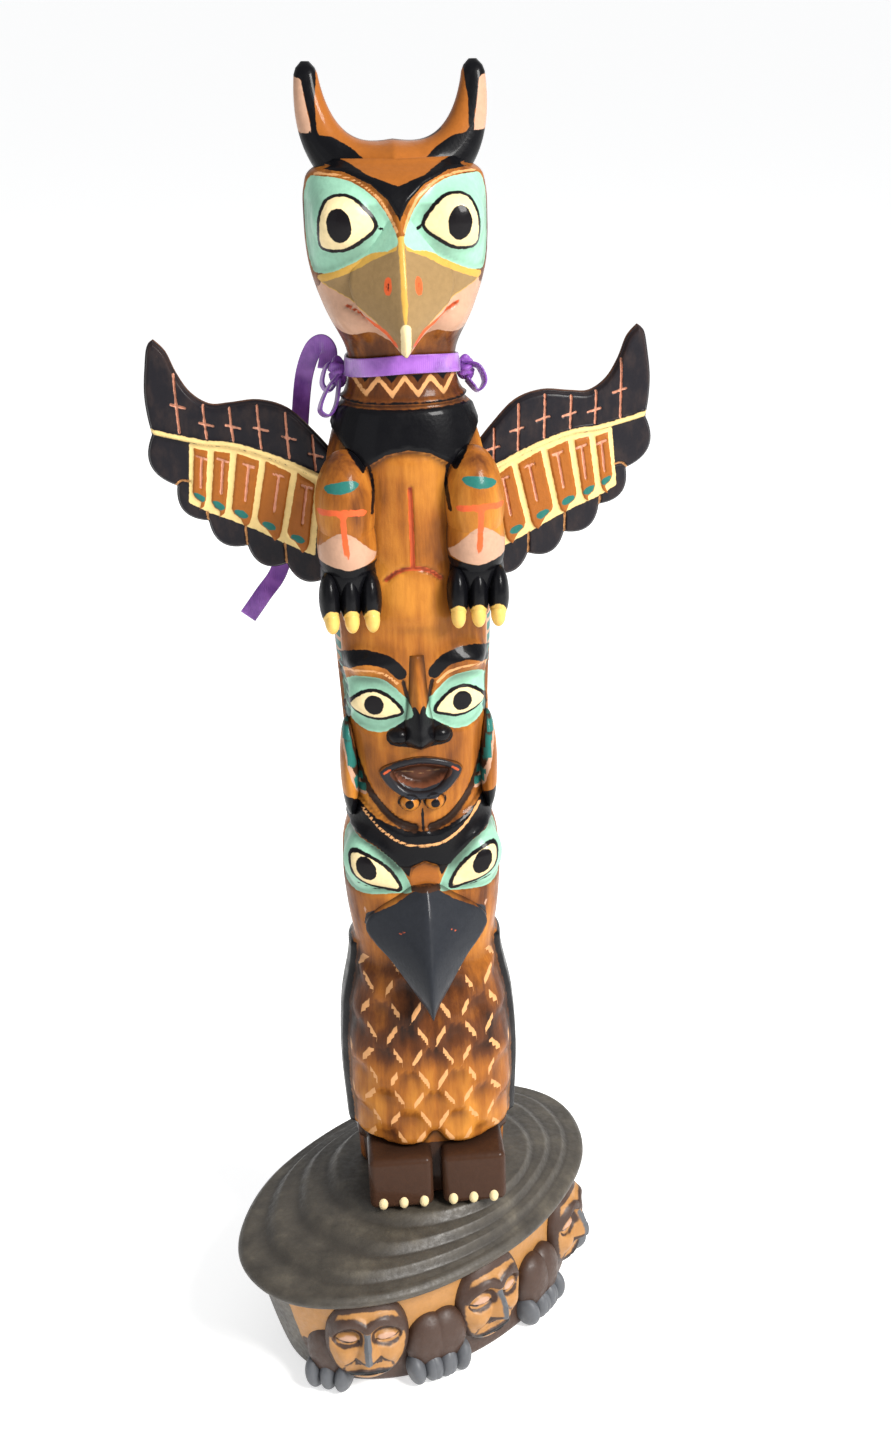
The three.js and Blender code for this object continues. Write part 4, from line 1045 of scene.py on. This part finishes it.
class Nodes:
    def __init__(self, name):
        self.material = bpy.data.materials.new(name)
        self.material.use_nodes = True
        self.tree = self.material.node_tree
        self.shader = self.tree.nodes["Principled BSDF"]
        self.coords = self.tree.nodes.new("ShaderNodeTexCoord").outputs["Object"]

    def add(self, kind, inputs=None, **settings):
        node = self.tree.nodes.new(kind)
        for key, value in settings.items():
            setattr(node, key, value)
        for key, value in (inputs or {}).items():
            self.put(node.inputs[key], value)
        return node

    def put(self, socket, value):
        if isinstance(value, bpy.types.NodeSocket):
            self.tree.links.new(value, socket)
        else:
            socket.default_value = value

    def noise(self, scale, detail=4.0, rough=0.6, stretch=(1, 1, 1), shift=(0, 0, 0)):
        mapped = self.add("ShaderNodeMapping", {"Vector": self.coords, "Scale": stretch, "Location": shift})
        return self.add("ShaderNodeTexNoise", {"Vector": mapped.outputs[0], "Scale": scale, "Detail": detail,
                                               "Roughness": rough}).outputs["Fac"]

    def number(self, name):
        return self.add("ShaderNodeAttribute", attribute_name=name).outputs["Fac"]

    def math(self, how, a, b=0.0):
        node = self.add("ShaderNodeMath", operation=how)
        self.put(node.inputs[0], a)
        self.put(node.inputs[1], b)
        return node.outputs[0]

    def span(self, value, low, high, toLow=0.0, toHigh=1.0, smooth=True):
        ends = {"Value": value, "From Min": low, "From Max": high, "To Min": toLow, "To Max": toHigh}
        how = "SMOOTHSTEP" if smooth else "LINEAR"
        return self.add("ShaderNodeMapRange", ends, interpolation_type=how).outputs["Result"]

    def wobble(self, scale, detail, size):
        return self.span(self.noise(scale, detail, 0.5), 0.3, 0.7, -size, size, False)

    def mix(self, share, a, b):
        node = self.add("ShaderNodeMix", data_type="RGBA")
        self.put(node.inputs["Factor"], share)
        self.put(node.inputs["A"], a if isinstance(a, bpy.types.NodeSocket) else (*a, 1))
        self.put(node.inputs["B"], b if isinstance(b, bpy.types.NodeSocket) else (*b, 1))
        return node.outputs["Result"]

    def ramp(self, value, stops):
        node = self.add("ShaderNodeValToRGB", {"Fac": value})
        while len(node.color_ramp.elements) < len(stops):
            node.color_ramp.elements.new(0.5)
        for element, (place, colour) in zip(node.color_ramp.elements, stops):
            element.position = place
            element.color = (*colour, 1)
        return node.outputs["Color"]

    def bump(self, height, strength, distance):
        node = self.add("ShaderNodeBump", {"Height": height, "Strength": strength, "Distance": distance})
        self.shade({"Normal": node.outputs["Normal"]})

    def shade(self, values):
        for name, value in values.items():
            self.put(self.shader.inputs[name], value)


paints = {
    "pale": (0.46, 0.27, 0.18), "gold": (0.52, 0.3, 0.06), "tan": (0.6, 0.3, 0.12),
    "black": (0.003, 0.003, 0.004), "mint": (0.27, 0.51, 0.37), "cream": (0.7, 0.56, 0.31),
    "ink": (0.005, 0.004, 0.005), "red": (0.6, 0.1, 0.03), "teal": (0.02, 0.13, 0.11),
    "slate": (0.02, 0.022, 0.027), "amber": (0.3, 0.095, 0.016), "grey": (0.085, 0.09, 0.1),
    "ochre": (0.25, 0.16, 0.07), "dusk": (0.045, 0.02, 0.011), "claw": (0.66, 0.42, 0.11),
    "straw": (0.72, 0.53, 0.22), "coral": (0.62, 0.29, 0.19), "deep": (0.15, 0.05, 0.024),
    "honey": (0.38, 0.18, 0.05),
}
stain = [(0.0, (0.02, 0.007, 0.003)), (0.35, (0.1, 0.03, 0.008)), (0.65, (0.27, 0.088, 0.013)),
         (1.0, (0.47, 0.185, 0.027))]


def layered(nodes, colour, names, wobble, softness=0.07):
    for name in names:
        edge = nodes.math("ADD", nodes.number(name), wobble)
        share = nodes.span(edge, -softness, softness)
        thin = nodes.noise(900, 3, 0.6, shift=(0.01 * len(name), 0, 0))
        worn = tuple(0.55 * c for c in paints[name])
        coat = nodes.mix(nodes.span(thin, 0.3, 0.7, 0, 0.22), paints[name], worn)
        colour = nodes.mix(share, colour, coat)
    return colour


def figurePaint():
    nodes = Nodes("figurePaint")
    streak = nodes.noise(260, 6, 0.65, stretch=(1, 1, 0.12))
    patchy = nodes.noise(70, 3, 0.5)
    tone = nodes.math("ADD", nodes.number("tone"), nodes.span(streak, 0.3, 0.7, -0.26, 0.24, False))
    tone = nodes.math("ADD", tone, nodes.span(patchy, 0.35, 0.65, -0.22, 0.18, False))
    colour = nodes.ramp(tone, stain)
    wobble = nodes.wobble(1100, 2, 0.07)
    colour = layered(nodes, colour, figureCoats, wobble)
    line = nodes.math("SUBTRACT", 0.3, nodes.math("ABSOLUTE", nodes.number("rim")))
    colour = nodes.mix(nodes.span(nodes.math("ADD", line, wobble), -0.07, 0.07), colour, paints["ink"])
    # Painted shade: the shade layer mixes in a near-black brown.
    colour = nodes.mix(nodes.math("MULTIPLY", nodes.number("hollowShade"), 0.75), colour, (0.012, 0.006, 0.004))
    nodes.shade({"Base Color": colour, "Roughness": nodes.span(nodes.noise(420, 3, 0.5), 0.3, 0.7, 0.3, 0.5),
                 "Specular IOR Level": 0.06, "Coat Weight": 0.14, "Coat Roughness": 0.1})
    nodes.bump(nodes.math("ADD", streak, nodes.noise(1500, 3, 0.5)), 0.25, 0.00025)
    return nodes.material


def wingPaintFinish():
    nodes = Nodes("wingPaint")
    wear = nodes.noise(500, 4, 0.6, stretch=(1, 1, 0.5))
    colour = nodes.mix(nodes.span(wear, 0.4, 0.75, 0, 0.4), (0.012, 0.011, 0.014), (0.045, 0.03, 0.026))
    brown = nodes.ramp(wear, [(0.3, (0.05, 0.018, 0.008)), (0.7, (0.24, 0.09, 0.03))])
    colour = nodes.mix(nodes.number("edge"), colour, brown)
    wobble = nodes.wobble(1100, 2, 0.07)
    colour = layered(nodes, colour, wingCoats, wobble)
    # Painted shade: the shade layer mixes in a dark brown.
    colour = nodes.mix(nodes.math("MULTIPLY", nodes.number("hollowShade"), 0.5), colour, (0.05, 0.02, 0.01))
    nodes.shade({"Base Color": colour, "Roughness": nodes.span(wear, 0.3, 0.7, 0.32, 0.52),
                 "Specular IOR Level": 0.06, "Coat Weight": 0.1, "Coat Roughness": 0.2})
    nodes.bump(nodes.math("ADD", wear, nodes.noise(1500, 3, 0.5)), 0.25, 0.00025)
    return nodes.material


def shellPaint():
    nodes = Nodes("shellPaint")
    rough = nodes.noise(160, 5, 0.65)
    grain = nodes.noise(900, 4, 0.6)
    shell = nodes.ramp(rough, [(0.3, (0.03, 0.025, 0.019)), (0.55, (0.058, 0.049, 0.037)),
                               (0.75, (0.105, 0.09, 0.066))])
    # Painted shade: the shade layer darkens the shell in its hollows.
    shell = nodes.mix(nodes.number("hollowShade"), shell, (0.022, 0.018, 0.014))
    wobble = nodes.wobble(700, 3, 0.12)
    colour = layered(nodes, shell, shellCoats, wobble, 0.14)
    nodes.shade({"Base Color": colour, "Roughness": nodes.span(grain, 0.3, 0.7, 0.42, 0.62)})
    nodes.bump(nodes.math("ADD", rough, grain), 0.3, 0.0003)
    return nodes.material


def satinFinish():
    nodes = Nodes("satinRibbon")
    thread = nodes.add("ShaderNodeTexWave", {"Vector": nodes.coords, "Scale": 900.0, "Distortion": 1.5,
                                             "Detail": 2.0})
    colour = nodes.mix(nodes.span(nodes.noise(300, 3, 0.5), 0.3, 0.7), (0.15, 0.035, 0.28), (0.3, 0.1, 0.47))
    edge = nodes.span(nodes.math("ABSOLUTE", nodes.number("acrossShare")), 0.86, 0.97)
    colour = nodes.mix(nodes.math("MULTIPLY", edge, 0.6), colour, (0.09, 0.02, 0.2))
    nodes.shade({"Base Color": colour, "Roughness": 0.34, "Sheen Weight": 0.5, "Sheen Roughness": 0.35,
                 "Transmission Weight": 0.12})
    nodes.bump(thread.outputs["Fac"], 0.25, 0.00008)
    return nodes.material


def dress(piece, material, nodeName):
    piece.data.materials.clear()
    piece.data.materials.append(material)
    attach(piece, "root")
    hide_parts(nodeName)


dress(pole, figurePaint(), "pole")
wingFinish = wingPaintFinish()
dress(wings[0], wingFinish, "wing_left")
dress(wings[1], wingFinish, "wing_right")
dress(plinth, shellPaint(), "shell_plinth")
satin = satinFinish()
dress(neckRibbon, satin, "neck_ribbon")
dress(ribbonTail, satin, "ribbon_tail")
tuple(tailPath[0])
print("stage: finishes on")

# Floor and light

studio = {"floor": 40.0, "key": 12.2, "fill": 0.55, "world": 0.46, "glow": 0.58}


def softLight(name, place, power, size, colour):
    data = bpy.data.lights.new(name, "AREA")
    data.energy, data.size, data.color = power, size, colour
    lamp = bpy.data.objects.new(name, data)
    bpy.context.scene.collection.objects.link(lamp)
    lamp.location = place
    lamp.rotation_euler = (Vector((0, 0, 0.12)) - Vector(place)).to_track_quat("-Z", "Y").to_euler()


deselectAll()
bpy.ops.mesh.primitive_plane_add(size=studio["floor"])
floor = bpy.context.object
floor.name = "floor"
pale = Nodes("paleFloor")
pale.shade({"Base Color": (0.86, 0.86, 0.85, 1), "Roughness": 0.9, "Emission Color": (1, 1, 1, 1),
            "Emission Strength": studio["glow"]})
floor.data.materials.append(pale.material)
softLight("key", (0.45, -0.5, 0.62), studio["key"], 0.3, (1, 0.98, 0.95))
softLight("fill", (-0.6, -0.5, 0.35), studio["fill"], 0.6, (0.92, 0.95, 1))
softLight("rear", (0.2, 0.6, 0.5), studio["fill"], 0.5, (1, 1, 1))
world = bpy.data.worlds.new("studio")
world.use_nodes = True
background = world.node_tree.nodes["Background"].inputs
background["Color"].default_value = (0.97, 0.98, 1, 1)
background["Strength"].default_value = studio["world"]
bpy.context.scene.world = world
bpy.context.scene.view_settings.view_transform = "Standard"
